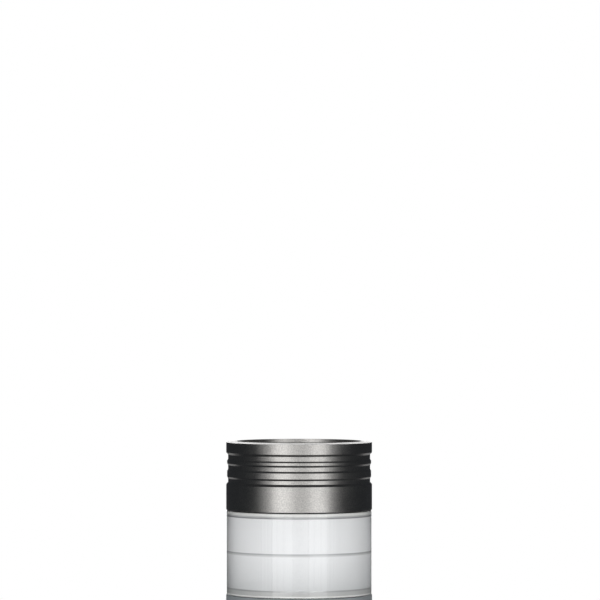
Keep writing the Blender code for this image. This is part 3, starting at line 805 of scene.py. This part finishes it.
fastener_tree, given = new_tree("screws_on_points", {"Screw": "Object", "Finish": "Material"})
spots = node(fastener_tree, "GeometryNodeMeshToPoints", Mesh=given["Geometry"])
set_copies(fastener_tree, given["Screw"], spots, given["Finish"])


def thread(name, bottom, top, finish_slot):
    """Internal thread between two levels, standing inwards from the insert's bore."""
    half = THREAD_PITCH * 0.42
    crest = THREAD_PITCH * 0.08
    upper_half = ((THREAD_ROOT, half), (-THREAD_DEPTH, crest))
    lower_half = ((-THREAD_DEPTH, -crest), (THREAD_ROOT, -half))
    mesh = bpy.data.meshes.new(name)
    points = [(x * MM, y * MM, 0.0) for x, y in upper_half + lower_half]
    mesh.from_pydata(points, [(0, 1), (1, 2), (2, 3), (3, 0)], [])
    turns = (top - bottom - 2 * half) / THREAD_PITCH
    inputs = {
        "Turns": turns,
        "Radius": THREAD_MAJOR * MM,
        "Height": turns * THREAD_PITCH * MM,
        "Steps": int(THREAD_STEPS * turns),
        "Finish": stainless,
    }
    made = run_tree(name, mesh, thread_tree, inputs)
    move(made, 0, 0, bottom + half)
    return place(made, finish_slot)


def combine(body, other, operation="DIFFERENCE"):
    """Boolean another object into a body and remove the other."""
    modifier = body.modifiers.new(operation.lower(), "BOOLEAN")
    modifier.operation = operation
    modifier.object = other
    settle(body)
    bpy.data.objects.remove(other, do_unlink=True)
    return body


def object_from(name, shape, finish):
    """Plain object from a bmesh, with a finish if there is one."""
    mesh = bpy.data.meshes.new(name)
    shape.to_mesh(mesh)
    shape.free()
    if finish:
        mesh.materials.append(finish)
    made = bpy.data.objects.new(name, mesh)
    scene.collection.objects.link(made)
    return made


def rod(name, radius, start, end, steps=48, finish=None):
    """Cylinder between two points in millimetres."""
    start = Vector(start) * MM
    end = Vector(end) * MM
    direction = (end - start).to_track_quat("Z", "Y").to_matrix().to_4x4()
    shape = bmesh.new()
    bmesh.ops.create_cone(
        shape,
        cap_ends=True,
        segments=steps,
        radius1=radius * MM,
        radius2=radius * MM,
        depth=(end - start).length,
        matrix=Matrix.Translation((start + end) / 2) @ direction,
    )
    return object_from(name, shape, finish)


def soften(made, width, segments=2):
    """Round an object's sharp edges."""
    bevel = made.modifiers.new("edges", "BEVEL")
    bevel.width = width * MM
    bevel.segments = segments
    return settle(made)


def block(name, low, high, finish=None, rounding=0.0):
    """Box between two corners in millimetres, its edges rounded if asked."""
    low = Vector(low) * MM
    high = Vector(high) * MM
    shape = bmesh.new()
    span = Matrix.Translation((low + high) / 2) @ Matrix.Diagonal((*(high - low), 1.0))
    bmesh.ops.create_cube(shape, size=1.0, matrix=span)
    made = object_from(name, shape, finish)
    return soften(made, rounding, 3) if rounding else made


# %% Cap screws
HEAD_RADIUS = 2.7
HEAD_HEIGHT = 2.0
SHANK_RADIUS = 1.35
SOCKET_RADIUS = 1.55
SOCKET_DEPTH = 1.2


def cap_screw(length):
    """Socket cap screw with its head's top at the origin and its shank downwards."""
    outline = [
        (0.0, 0.0, 0),
        (HEAD_RADIUS, 0.0, 0.35),
        (HEAD_RADIUS, -HEAD_HEIGHT, 0.1),
        (SHANK_RADIUS, -HEAD_HEIGHT, 0.1),
        (SHANK_RADIUS, -length, 0.3),
        (0.0, -length, 0),
    ]
    made = turned_solid("cap_screw", outline, stainless, steps=40)
    socket = rod("socket", SOCKET_RADIUS, (0, 0, 1), (0, 0, -SOCKET_DEPTH), 6)
    return combine(made, socket)


def screw_set(name, nodes, upside_down=False):
    """One piece for a group of equal screws, set where the model's screws are."""
    boxes = [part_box(each) for each in nodes]
    length = (boxes[0][1].z - boxes[0][0].z) / MM
    pattern = cap_screw(length)
    if upside_down:
        pattern.data.transform(Matrix.Rotation(math.pi, 4, "X"))
    mesh = bpy.data.meshes.new(name)
    places = [
        ((low.x + high.x) / 2, (low.y + high.y) / 2, low.z if upside_down else high.z)
        for low, high in boxes
    ]
    mesh.from_pydata(places, [], [])
    made = run_tree(name, mesh, fastener_tree, {"Screw": pattern, "Finish": stainless})
    bpy.data.objects.remove(pattern, do_unlink=True)
    return place(made, "stainless_steel", *nodes)


PLATE_SCREWS = numbered("plate_screw", 3)
DECK_SCREWS = numbered("deck_screw", 3)
BASE_SCREWS = numbered("base_screw", 4)
screw_set("plate_screws", PLATE_SCREWS)
screw_set("deck_screws", DECK_SCREWS)
screw_set("base_screws", BASE_SCREWS, upside_down=True)

# %% Mounting plate and thread inserts
PLATE_RADIUS = radius_of("mount_plate")
COUNTERBORE = HEAD_RADIUS + CLEARANCE
SHANK_HOLE = SHANK_RADIUS + CLEARANCE


def drill(body, radius, spot, bottom, top, steps=36):
    """Bore an upright hole through a body."""
    combine(body, rod("hole", radius, (*spot, bottom), (*spot, top), steps))


def counterbore(body, spot, head, shank):
    """Cut the seat of a screw's head and the hole of its shank, each between two levels."""
    bore = rod("bore", COUNTERBORE, *((*spot, level) for level in head))
    through = rod("through", SHANK_HOLE, *((*spot, level) for level in shank), 36)
    combine(bore, through, "UNION")
    combine(body, bore)


outline = section(INSERT_RADIUS + CLEARANCE, PLATE_RADIUS, plate_bottom, plate_top, 0.2, 0.2)
mount_plate = turned_ring("mount_plate_turned", outline, bare_aluminium)
head_seat = plate_top - HEAD_HEIGHT - CLEARANCE
for each in PLATE_SCREWS:
    spot = centre_of(each)[:2]
    counterbore(mount_plate, spot, (head_seat, plate_top + 1), (plate_bottom - 1, head_seat + 1))
place(mount_plate, "turned_aluminium", "mount_plate")


def thread_insert(name, node_name, mouth, floor, flange, way):
    """Blind thread insert from its mouth inwards; way is -1 when it opens upwards."""
    back = floor + way * INSERT_FLOOR
    flange_back = flange + way * INSERT_FLANGE_THICKNESS
    points = [
        (0.0, floor, 0),
        (THREAD_MAJOR + THREAD_SLACK, floor, 0.2),
        (THREAD_MAJOR + THREAD_SLACK, mouth, 0.5),
        (INSERT_RADIUS, mouth, 0.25),
        (INSERT_RADIUS, flange, 0.1),
        (INSERT_FLANGE, flange, 0.2),
        (INSERT_FLANGE, flange_back, 0.2),
        (INSERT_RADIUS, flange_back, 0.1),
        (INSERT_RADIUS, back, 0.3),
        (0.0, back, 0),
    ]
    made = turned_solid(name, points, stainless, steps=96)
    place(made, "stainless_steel", node_name)


top_back, top_mouth = levels("top_thread_insert")
top_floor = top_back + INSERT_FLOOR
thread_insert(
    "top_insert_turned", "top_thread_insert", top_mouth, top_floor, plate_bottom - CLEARANCE, -1
)
thread("top_thread", top_floor + THREAD_RUNOUT, top_mouth - THREAD_LEAD, "stainless_steel")

# %% [markdown]
# ## Reflective drum
# The sheeting comes in two bands with a narrow butt seam, rolled on a drum and bonded to
# the inside of the clear sleeve, so that it fills the sleeve to its very edge. To get that
# look, each band's outer face lies just inside the sleeve's wall, with no air between them.
# Low ridges on the drum fill the gaps beside the bands, and show as thin grey lines, with
# painted shade in their colour next to each band's edge.

# %% Drum, sheeting and sleeve
SLEEVE_BORE = 31.35
DRUM_BORE = 28.2
DRUM_RADIUS = 30.9
RIDGE_RADIUS = 31.43
SHEET_BACK = 30.95
BOND = 0.08
BEAD_FOOT = 0.1
BEAD_HEAD = 0.75
SEAL_RADIUS = 32.62
SEAL_TUCK = 0.2
SEAL_SLACK = 0.01
RING_BORE = 27.9
LOWER_GAP = 0.7
UPPER_GAP = 1.3
# How far each edge lies from the plain solid's
SLEEVE_RISE = 0.25
FOOT_TRIM = 0.3
SEAM_FOOT_TRIM = 0.45
SEAM_HEAD_TRIM = 0.4
HEAD_RISE = 0.15

sleeve_bottom, sleeve_top = levels("window_sleeve")
sleeve_top += SLEEVE_RISE
sleeve_radius = radius_of("window_sleeve")
sheet_foot = levels("reflective_sheet_lower")[0] + FOOT_TRIM
seam_foot = levels("reflective_sheet_lower")[1] - SEAM_FOOT_TRIM
seam_head = levels("reflective_sheet_upper")[0] + SEAM_HEAD_TRIM
sheet_head = levels("reflective_sheet_upper")[1] + HEAD_RISE
lower_ring_top = sheet_foot - LOWER_GAP
upper_ring_foot = sheet_head + UPPER_GAP

outline = section(SLEEVE_BORE, sleeve_radius, sleeve_bottom, sleeve_top, 0, 0.1)
sleeve = turned_ring("window_sleeve_polished", outline, clear_acrylic, FINE_STEPS)
place(sleeve, "clear_acrylic", "window_sleeve")


def ring(name, finish, inner, outer, bottom, top):
    """Plain turned ring of rectangular section."""
    outline = ((inner, top), (outer, top), (outer, bottom), (inner, bottom))
    return turned(name, outline, finish, steps=FINE_STEPS)


def drum_coating_painted_shade():
    """Matt coating, more metallic on the ridges beside the bands, with painted shade there."""
    made, tree, shader, where = start_finish("matt_coated_drum_painted_shade", "#C9CACB", 0.6)
    shader.inputs["Specular IOR Level"].default_value = 0.15
    level = node(tree, "ShaderNodeSeparateXYZ", Vector=where).outputs["Z"]
    height = node(
        tree,
        "ShaderNodeMapRange",
        Value=level,
        From_Min=lower_ring_top * MM,
        From_Max=upper_ring_foot * MM,
    ).outputs[0]
    shades = node(tree, "ShaderNodeValToRGB", i0=height)
    span = upper_ring_foot - lower_ring_top
    # Each stop is a level, a colour and how metallic the drum is there. The grey and dark colours
    # are painted shade in the gaps beside the bands; the light ones are the coating's own.
    stops = (
        (sheet_foot, "#B0B1B2", 0.45),
        (seam_foot, "#DFE0E0", 0.0),
        (seam_head, "#A9AAAC", 0.3),
        (sheet_head, "#808184", 0.48),
        (upper_ring_foot, "#DCDDDD", 0.0),
    )
    ramp = shades.color_ramp.elements
    for i, (stop, shade, bare) in enumerate(stops):
        element = ramp[i] if i < 2 else ramp.new(1.0)
        element.position = (stop - lower_ring_top) / span
        element.color = (*linear(shade)[:3], bare)
    tree.links.new(shades.outputs["Color"], shader.inputs["Base Color"])
    tree.links.new(shades.outputs["Alpha"], shader.inputs["Metallic"])
    roughness = node(
        tree,
        "ShaderNodeMapRange",
        Value=shades.outputs["Alpha"],
        From_Max=0.6,
        To_Min=0.6,
        To_Max=0.2,
    ).outputs[0]
    tree.links.new(roughness, shader.inputs["Roughness"])
    return made


drum_outline = (
    (DRUM_BORE, upper_ring_foot),
    (RIDGE_RADIUS, upper_ring_foot),
    (RIDGE_RADIUS, sheet_head),
    (DRUM_RADIUS, sheet_head),
    (DRUM_RADIUS, seam_head),
    (RIDGE_RADIUS, seam_head),
    (RIDGE_RADIUS, seam_foot),
    (DRUM_RADIUS, seam_foot),
    (DRUM_RADIUS, sheet_foot),
    (RIDGE_RADIUS, sheet_foot),
    (RIDGE_RADIUS, lower_ring_top),
    (DRUM_BORE, lower_ring_top),
)
drum = turned("reflector_drum_turned", drum_outline, drum_coating_painted_shade(), steps=FINE_STEPS)
place(drum, "turned_aluminium", "reflector_drum")

# Levels under the floor leave a band without painted shade over its whole height.
unshaded_film = microprism_sheeting("prism_film_upper", -2.0, -1.0)
# The lower band's film carries painted shade towards its foot.
film_with_painted_shade = microprism_sheeting("prism_film_lower", sheet_foot, seam_foot)
for node_name, film, bottom, top in (
    ("reflective_sheet_upper", unshaded_film, seam_head, sheet_head),
    ("reflective_sheet_lower", film_with_painted_shade, sheet_foot, seam_foot),
):
    band = ring(node_name + "_film", film, SHEET_BACK, SLEEVE_BORE + BOND, bottom, top)
    place(band, "reflective_sheeting", node_name)

for node_name, finish, bottom, top in (
    ("upper_end_ring", white_acetal, upper_ring_foot, sleeve_top - 0.05),
    # The lower ring's finish is its white acetal painted grey, a painted shade.
    ("lower_end_ring", shaded_white_acetal, sleeve_bottom + BEAD_HEAD, lower_ring_top),
):
    end_ring = ring(node_name + "_turned", finish, RING_BORE, SLEEVE_BORE + BOND, bottom, top)
    place(end_ring, "white_plastic", node_name)
bead = ring(
    "sleeve_sealing_bead",
    white_acetal,
    GASKET_INNER,
    SLEEVE_BORE + BOND,
    sleeve_bottom + BEAD_FOOT,
    sleeve_bottom + BEAD_HEAD,
)
place(bead, "white_plastic")
seal = ring(
    "sleeve_top_seal",
    nitrile,
    LIP_RADIUS - SEAL_TUCK,
    SEAL_RADIUS,
    sleeve_top + BOND,
    collar_end - SEAL_SLACK,
)
place(seal, "black_rubber")

# %% [markdown]
# ## Upper housing and tracking lights
# The housing below the drum is moulded, not turned, so it is duller and lighter than the
# collar. Behind its dark window six infrared lights look outwards. Six equal lights on a
# circle are a job for Instance on Points.

# %% Upper housing and window
SPIGOT_RADIUS = 30.5
SPIGOT_BORE = 28.0
DECK_DROP = 0.9
DECK_THICKNESS = 3.0
CABLE_HOLE = 6.0
SPIGOT_LENGTH = 1.5
spigot_end, housing_lip = levels("upper_housing")
housing_edge = spigot_end + SPIGOT_LENGTH
deck_top = housing_lip - DECK_DROP
outline = [
    (LIP_RADIUS, housing_lip, 0.1),
    (BODY_RADIUS, housing_lip, 0.3),
    (BODY_RADIUS, housing_edge, 0.2),
    (SPIGOT_RADIUS, housing_edge, 0),
    (SPIGOT_RADIUS, spigot_end, 0.1),
    (SPIGOT_BORE, spigot_end, 0.1),
    (SPIGOT_BORE, deck_top - DECK_THICKNESS, 0.5),
    (CABLE_HOLE, deck_top - DECK_THICKNESS, 0.2),
    (CABLE_HOLE, deck_top, 0.2),
    (LIP_RADIUS, deck_top, 0),
]
upper_housing = turned_ring("upper_housing_moulded", outline, grey_abs)
for each in DECK_SCREWS:
    drill(upper_housing, SHANK_HOLE, centre_of(each)[:2], spigot_end, deck_top + 1)
place(upper_housing, "grey_plastic", "upper_housing")

window_bottom, window_top = levels("led_window")
outline = section(SPIGOT_RADIUS + CLEARANCE, BODY_RADIUS, window_bottom, window_top, 0, 0.25)
led_window = turned_ring("led_window_polished", outline, smoked_acrylic, FINE_STEPS)
place(led_window, "smoked_acrylic", "led_window")

# %% Tracking lights
LIGHT_COUNT = 6
LIGHT_FOOT = 23.2
DOME_RADIUS = 1.35
DOME_BASE = 5.0
FLANGE_RADIUS = 1.6
FLANGE_HEIGHT = 0.9
lights_tree, given = new_tree(
    "lights_on_a_ring", {"Light": "Object", "Count": "Int", "Radius": "Float", "Finish": "Material"}
)
circle_of_points = node(
    lights_tree, "GeometryNodeMeshCircle", Vertices=given["Count"], Radius=given["Radius"]
)
outward = node(lights_tree, "GeometryNodeInputPosition")
facing = node(
    lights_tree, "FunctionNodeAlignRotationToVector", {"axis": "Z"}, Vector=outward.outputs[0]
)
finish = given["Finish"]
set_copies(lights_tree, given["Light"], circle_of_points, finish, Rotation=facing.outputs[0])

dome = [
    (DOME_RADIUS * math.cos(t), DOME_BASE + DOME_RADIUS * math.sin(t))
    for t in (math.radians(15 * step) for step in range(6, -1, -1))
]
dome[0] = (0.0, DOME_BASE + DOME_RADIUS)
led_outline = dome + [
    (DOME_RADIUS, FLANGE_HEIGHT),
    (FLANGE_RADIUS, FLANGE_HEIGHT),
    (FLANGE_RADIUS, 0.0),
    (0.0, 0.0),
]
pattern = turned("led_pattern", led_outline, led_epoxy, closed=False, steps=32)
led_ring = run_tree(
    "tracking_lights",
    bpy.data.meshes.new("tracking_lights"),
    lights_tree,
    {"Light": pattern, "Count": LIGHT_COUNT, "Radius": LIGHT_FOOT * MM, "Finish": led_epoxy},
)
move(led_ring, 0, 0, centre_of("tracking_led_1")[2])
bpy.data.objects.remove(pattern, do_unlink=True)
place(led_ring, "light_epoxy", *numbered("tracking_led", LIGHT_COUNT))

# %% [markdown]
# ## Battery housing
# The lower housing is moulded with a flat seat for the battery door at the back, a round
# seat for the power button in front and three small holes for the status lights. A turned
# solid with a few cuts makes it. Bosses stand in its cavity for the base screws.

# %% Battery housing
CAVITY_RADIUS = 30.6
CAVITY_TOP = 76.0
CAVITY_FRONT = -27.4
CAVITY_BACK = 22.8
DOOR_SEAT = 25.0
POCKET_BOTTOM = 23.5
POCKET_TOP = 75.5
BAY_HALF = 14.6
BAY_BOTTOM = 30.5
BAY_TOP = 66.2
BOSS_RADIUS = 4.2
BOSS_TOP = 36.0
BOSS_WALL = 3.0
DECK_STEP = 1.0
OUTSIDE = BODY_RADIUS + 3  # well clear of the body, for cuts from outside

housing_bottom, housing_step = levels("battery_housing")
housing_top = housing_step - SPIGOT_LENGTH
outline = [
    (0.0, housing_top - DECK_STEP, 0),
    (SPIGOT_BORE, housing_top - DECK_STEP, 0),
    (SPIGOT_BORE, housing_step, 0.1),
    (SPIGOT_RADIUS, housing_step, 0.1),
    (SPIGOT_RADIUS, housing_top, 0),
    (BODY_RADIUS, housing_top, 0.25),
    (BODY_RADIUS, housing_bottom, 0.25),
    (0.0, housing_bottom, 0),
]
housing = turned_solid("battery_housing_moulded", outline, grey_abs)

floor_level = housing_bottom - 1
cavity = rod("cavity", CAVITY_RADIUS, (0, 0, floor_level), (0, 0, CAVITY_TOP), TURN_STEPS)
slab = block(
    "slab", (-OUTSIDE, CAVITY_FRONT, floor_level - 1), (OUTSIDE, CAVITY_BACK, CAVITY_TOP + 1)
)
combine(cavity, slab, "INTERSECT")
screw_spots = [centre_of(each)[:2] for each in BASE_SCREWS]
for spot in screw_spots:
    boss = rod("boss", BOSS_RADIUS, (*spot, floor_level - 1), (*spot, BOSS_TOP))
    combine(cavity, boss)
combine(housing, cavity)
for spot in screw_spots:
    drill(housing, SHANK_HOLE, spot, floor_level, BOSS_TOP - BOSS_WALL, 24)
for each in DECK_SCREWS:
    drill(housing, SHANK_HOLE, centre_of(each)[:2], CAVITY_TOP - 1, housing_step + 1, 24)

pocket = ((-OUTSIDE, DOOR_SEAT, POCKET_BOTTOM), (OUTSIDE, OUTSIDE, POCKET_TOP))
combine(housing, block("pocket", *pocket))
bay = ((-BAY_HALF, CAVITY_BACK - 1, BAY_BOTTOM), (BAY_HALF, DOOR_SEAT + 1, BAY_TOP))
combine(housing, block("bay", *bay))

# %% Seats for the button, the status lights and the latch
BUTTON_HOLE = 6.9
LATCH_HOLE = 2.1
LIGHT_HOLE = 1.4
BEZEL_SEAT = -29.6
LATCH_Z = centre_of("door_latch")[2]
BUTTON_Z = centre_of("power_button")[2]
bezel_radius = radius_of("button_bezel")


def drill_level(body, radius, x, z, start, end, steps):
    """Bore a level hole from one y to another."""
    combine(body, rod("hole", radius, (x, start, z), (x, end, z), steps))


drill_level(housing, LATCH_HOLE, 0, LATCH_Z, CAVITY_BACK - 1, DOOR_SEAT + 1, 48)
drill_level(housing, BUTTON_HOLE, 0, BUTTON_Z, CAVITY_FRONT + 1, -OUTSIDE, 96)
drill_level(housing, bezel_radius + CLEARANCE, 0, BUTTON_Z, BEZEL_SEAT, -OUTSIDE, 96)
STATUS_NODES = numbered("status_light", 3)
for each in STATUS_NODES:
    x, _, z = centre_of(each)
    drill_level(housing, LIGHT_HOLE, x, z, CAVITY_FRONT + 1, -OUTSIDE, 32)

# %% Hinge lugs
HINGE_RADIUS = 2.0
HINGE_BORE = 1.1
WEB_HALF = 1.7
LUG_OUTER = radius_of("door_hinge_pin")
LUG_INNER = 6.5
_, HINGE_Y, HINGE_Z = centre_of("door_hinge_pin")


def hinge_rod(name, radius, left, right, steps=48, finish=None):
    """Rod on the hinge's axis."""
    ends = ((left, HINGE_Y, HINGE_Z), (right, HINGE_Y, HINGE_Z))
    return rod(name, radius, *ends, steps, finish)


for side in (-1, 1):
    ends = sorted((side * LUG_INNER, side * LUG_OUTER))
    web = block(
        "web", (ends[0], DOOR_SEAT - 1, HINGE_Z - WEB_HALF), (ends[1], HINGE_Y, HINGE_Z + WEB_HALF)
    )
    combine(housing, web, "UNION")
    combine(housing, hinge_rod("eye", HINGE_RADIUS, *ends), "UNION")
combine(housing, hinge_rod("pin_bore", HINGE_BORE, -12, 12, 32))
place(housing, "grey_plastic", "battery_housing")

# %% [markdown]
# ## Battery door
# The door is a flat moulding on a hinge at its foot, held by a quarter-turn latch that a
# coin opens. A raised border stiffens it, and a row of ribs gives the thumb a hold. The ribs
# are one rounded bar set along a line, so a tree spaces them.

# %% Battery door
DOOR_HALF = radius_of("battery_door")
DOOR_TOP = levels("battery_door")[1]
DOOR_INNER = 26.4
DOOR_OUTER = 28.2
DOOR_BOTTOM = 28.5
BARREL_HALF = 6.2
BORDER = 2.4
BORDER_FOOT = 4.0
BORDER_HEAD = 8.6
RECESS_DEPTH = 0.5
LATCH_BORE = 1.8
door = block(
    "battery_door_moulded",
    (-DOOR_HALF, DOOR_INNER, DOOR_BOTTOM),
    (DOOR_HALF, DOOR_OUTER, DOOR_TOP),
    grey_abs,
    0.45,
)
tongue = block(
    "tongue",
    (-BARREL_HALF, DOOR_INNER + CLEARANCE, HINGE_Z),
    (BARREL_HALF, DOOR_OUTER, DOOR_BOTTOM + 1),
)
combine(door, tongue, "UNION")
combine(door, hinge_rod("barrel", HINGE_RADIUS, -BARREL_HALF, BARREL_HALF), "UNION")
combine(door, hinge_rod("barrel_bore", HINGE_BORE, -8, 8, 32))
panel_recess = block(
    "panel_recess",
    (-DOOR_HALF + BORDER, DOOR_OUTER - RECESS_DEPTH, DOOR_BOTTOM + BORDER_FOOT),
    (DOOR_HALF - BORDER, DOOR_OUTER + 2, DOOR_TOP - BORDER_HEAD),
    rounding=0.4,
)
combine(door, panel_recess)
drill_level(door, LATCH_BORE, 0, LATCH_Z, DOOR_INNER - 1, DOOR_OUTER + 1, 48)
place(door, "grey_plastic", "battery_door", body="door")

# %% Thumb ribs on the door
RIB_COUNT = 7
RIB_PITCH = 2.2
RIB_SINK = 0.3
RIB_FOOT = 18.0
ribs_tree, given = new_tree(
    "row_of_ribs",
    {"Rib": "Object", "Count": "Int", "Start": "Vector", "Step": "Vector", "Finish": "Material"},
)
row = node(
    ribs_tree,
    "GeometryNodeMeshLine",
    {"mode": "OFFSET"},
    Count=given["Count"],
    Start_Location=given["Start"],
    Offset=given["Step"],
)
set_copies(ribs_tree, given["Rib"], row, given["Finish"])
rib = block("rib", (-9.0, -0.35, -0.4), (9.0, 0.35, 0.4), grey_abs, 0.3)
ribs = run_tree(
    "door_thumb_ribs",
    bpy.data.meshes.new("door_thumb_ribs"),
    ribs_tree,
    {
        "Rib": rib,
        "Count": RIB_COUNT,
        "Start": (0.0, (DOOR_OUTER - RIB_SINK) * MM, (DOOR_BOTTOM + RIB_FOOT) * MM),
        "Step": (0.0, 0.0, RIB_PITCH * MM),
        "Finish": grey_abs,
    },
)
bpy.data.objects.remove(rib, do_unlink=True)
place(ribs, "grey_plastic", body="door")

# %% Hinge pin and latch
PIN_RADIUS = 0.8
hinge_pin = hinge_rod("hinge_pin_turned", PIN_RADIUS, -LUG_OUTER, LUG_OUTER, 32, stainless)
soften(hinge_pin, 0.15)
place(hinge_pin, "stainless_steel", "door_hinge_pin")

LATCH_FACE = 28.5
LATCH_RADIUS = 3.1
LATCH_HEAD = 2.0
LATCH_SHANK = 1.5
SLOT_HALF = 0.5
SLOT_DEPTH = 0.8
shank_length = LATCH_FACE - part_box("door_latch")[0].y / MM
latch_outline = [
    (0.0, LATCH_HEAD, 0),
    (LATCH_RADIUS, LATCH_HEAD, 0.4),
    (LATCH_RADIUS, 0.0, 0.1),
    (LATCH_SHANK, 0.0, 0.1),
    (LATCH_SHANK, -shank_length, 0.3),
    (0.0, -shank_length, 0),
]
latch = turned_solid("door_latch_turned", latch_outline, stainless, steps=72)
latch_slot = block(
    "latch_slot", (-SLOT_HALF, -4.0, LATCH_HEAD - SLOT_DEPTH), (SLOT_HALF, 4.0, LATCH_HEAD + 1)
)
combine(latch, latch_slot)
outward_turn = Matrix.Rotation(math.radians(-90), 4, "X")
move(latch, 0, LATCH_FACE, LATCH_Z, outward_turn)
place(latch, "stainless_steel", "door_latch", body="latch")

# %% [markdown]
# ## Power button, bezel and status lights
# The button is a domed silicone cap with a dished face, in a thin black bezel. Three light
# pipes carry the status lights to the surface.

# %% Front controls
forward_turn = Matrix.Rotation(math.radians(90), 4, "X")
BUTTON_RADIUS = 6.6
BUTTON_FLANGE = 7.8
BUTTON_FACE = 5.0
FLANGE_BACK = 1.5
BEZEL_HEIGHT = 2.0
button_outline = [
    (0.0, BUTTON_FACE - 0.45, 0),
    (3.2, BUTTON_FACE - 0.4, 0.8),
    (4.6, BUTTON_FACE - 0.05, 0.6),
    (BUTTON_RADIUS - 0.5, BUTTON_FACE - 0.5, 0.4),
    (BUTTON_RADIUS, BUTTON_FACE - 1.2, 0.3),
    (BUTTON_RADIUS, -CLEARANCE, 0.1),
    (BUTTON_FLANGE, -CLEARANCE, 0.1),
    (BUTTON_FLANGE, -FLANGE_BACK, 0.1),
    (0.0, -FLANGE_BACK, 0),
]
button = turned_solid("power_button_moulded", button_outline, silicone, steps=96)
move(button, 0, CAVITY_FRONT, BUTTON_Z, forward_turn)
place(button, "button_rubber", "power_button", body="button")

bezel_outline = [
    (BUTTON_HOLE, BEZEL_HEIGHT, 0.3),
    (bezel_radius, BEZEL_HEIGHT, 0.45),
    (bezel_radius, CLEARANCE, 0.1),
    (BUTTON_HOLE, CLEARANCE, 0.1),
]
bezel = turned_ring("button_bezel_moulded", bezel_outline, black_abs, steps=96)
move(bezel, 0, BEZEL_SEAT, BUTTON_Z, forward_turn)
place(bezel, "dark_plastic", "button_bezel")

# %% Status lights
for each, tint in zip(STATUS_NODES, ("#4FD07A", "#F2B23C", "#5A9BFF")):
    low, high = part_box(each)
    radius = (high.x - low.x) / 2 / MM
    pipe_length = (high.y - low.y) / MM
    outline = [
        (0.0, 0.0, 0),
        (radius, -0.25, 0.25),
        (radius, -pipe_length, 0.1),
        (0.0, -pipe_length, 0),
    ]
    lens = moulded_plastic("tinted_light_pipe_" + tint[1:].lower(), tint, 0.22, Coat_Weight=0.6)
    pipe = turned_solid(each + "_pipe", outline, lens, steps=32)
    x, _, z = centre_of(each)
    move(pipe, x, low.y / MM, z, forward_turn)
    place(pipe, "clear_acrylic", each)

# %% [markdown]
# ## Base collar
# The base repeats the top collar's grip, with a thread insert for the pole below and a
# rubber ring where it meets the housing.

# %% Base collar, gasket and insert
BASE_BORE = 24.0
BASE_FLOOR = 5.0
SEAT_RADIUS = 30.5
SEAT_DROP = 1.0
BASE_LAND = 2.0
SCREW_SINK = 0.5
base_top = levels("base_collar")[1]
seat = base_top - SEAT_DROP
outline = [
    (BASE_BORE, base_top, 0.3),
    (SEAT_RADIUS, base_top, 0.1),
    (SEAT_RADIUS, seat, 0),
    (BODY_RADIUS, seat, 0.4),
]
outline += grip_outline(seat - BASE_LAND)
outline += [
    (BODY_RADIUS, END_CHAMFER, CRISP),
    (BODY_RADIUS - END_CHAMFER, 0.0, CRISP),
    (INSERT_RADIUS + CLEARANCE, 0.0, 0.2),
    (INSERT_RADIUS + CLEARANCE, BASE_FLOOR, 0.1),
    (BASE_BORE, BASE_FLOOR, 0.8),
]
base_collar = turned_ring("base_collar_turned", outline, anodised)
for spot in screw_spots:
    counterbore(base_collar, spot, (-1, HEAD_HEIGHT + SCREW_SINK), (1, base_top + 1))
place(base_collar, "gunmetal_anodised", "base_collar")

gasket_width = (SEAT_RADIUS + CLEARANCE, BODY_RADIUS - CLEARANCE)
outline = section(*gasket_width, *levels("base_gasket"), 0.1, 0.3)
base_gasket = turned_ring("base_gasket_moulded", outline, nitrile)
place(base_gasket, "black_rubber", "base_gasket")

base_back = levels("base_thread_insert")[1]
base_floor = base_back - INSERT_FLOOR
thread_insert(
    "base_insert_turned", "base_thread_insert", 0.0, base_floor, BASE_FLOOR + CLEARANCE, 1
)
thread("base_thread", THREAD_LEAD, base_floor - THREAD_RUNOUT, "stainless_steel")

# %% [markdown]
# ## Inside the housing
# The boards, the battery and its tray only show with the door open. Their plain solids have
# the right shape, so they keep it and take a better finish.

# %% Finishes of the inner pieces
INNER_FINISHES = {
    nitrile: ("sleeve_gasket_top", "sleeve_gasket_bottom", "door_gasket"),
    stainless: (*numbered("tie_rod", 3), "radio_module"),
    laminate: ("led_board", "main_board"),
    black_abs: ("battery_tray", "power_switch", "tilt_sensor"),
    battery_wrap: ("battery_pack",),
    brass: numbered("battery_contact", 2),
}
for finish, names in INNER_FINISHES.items():
    for name in names:
        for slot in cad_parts[name].material_slots:
            slot.material = finish
        print(name, "->", finish.name)
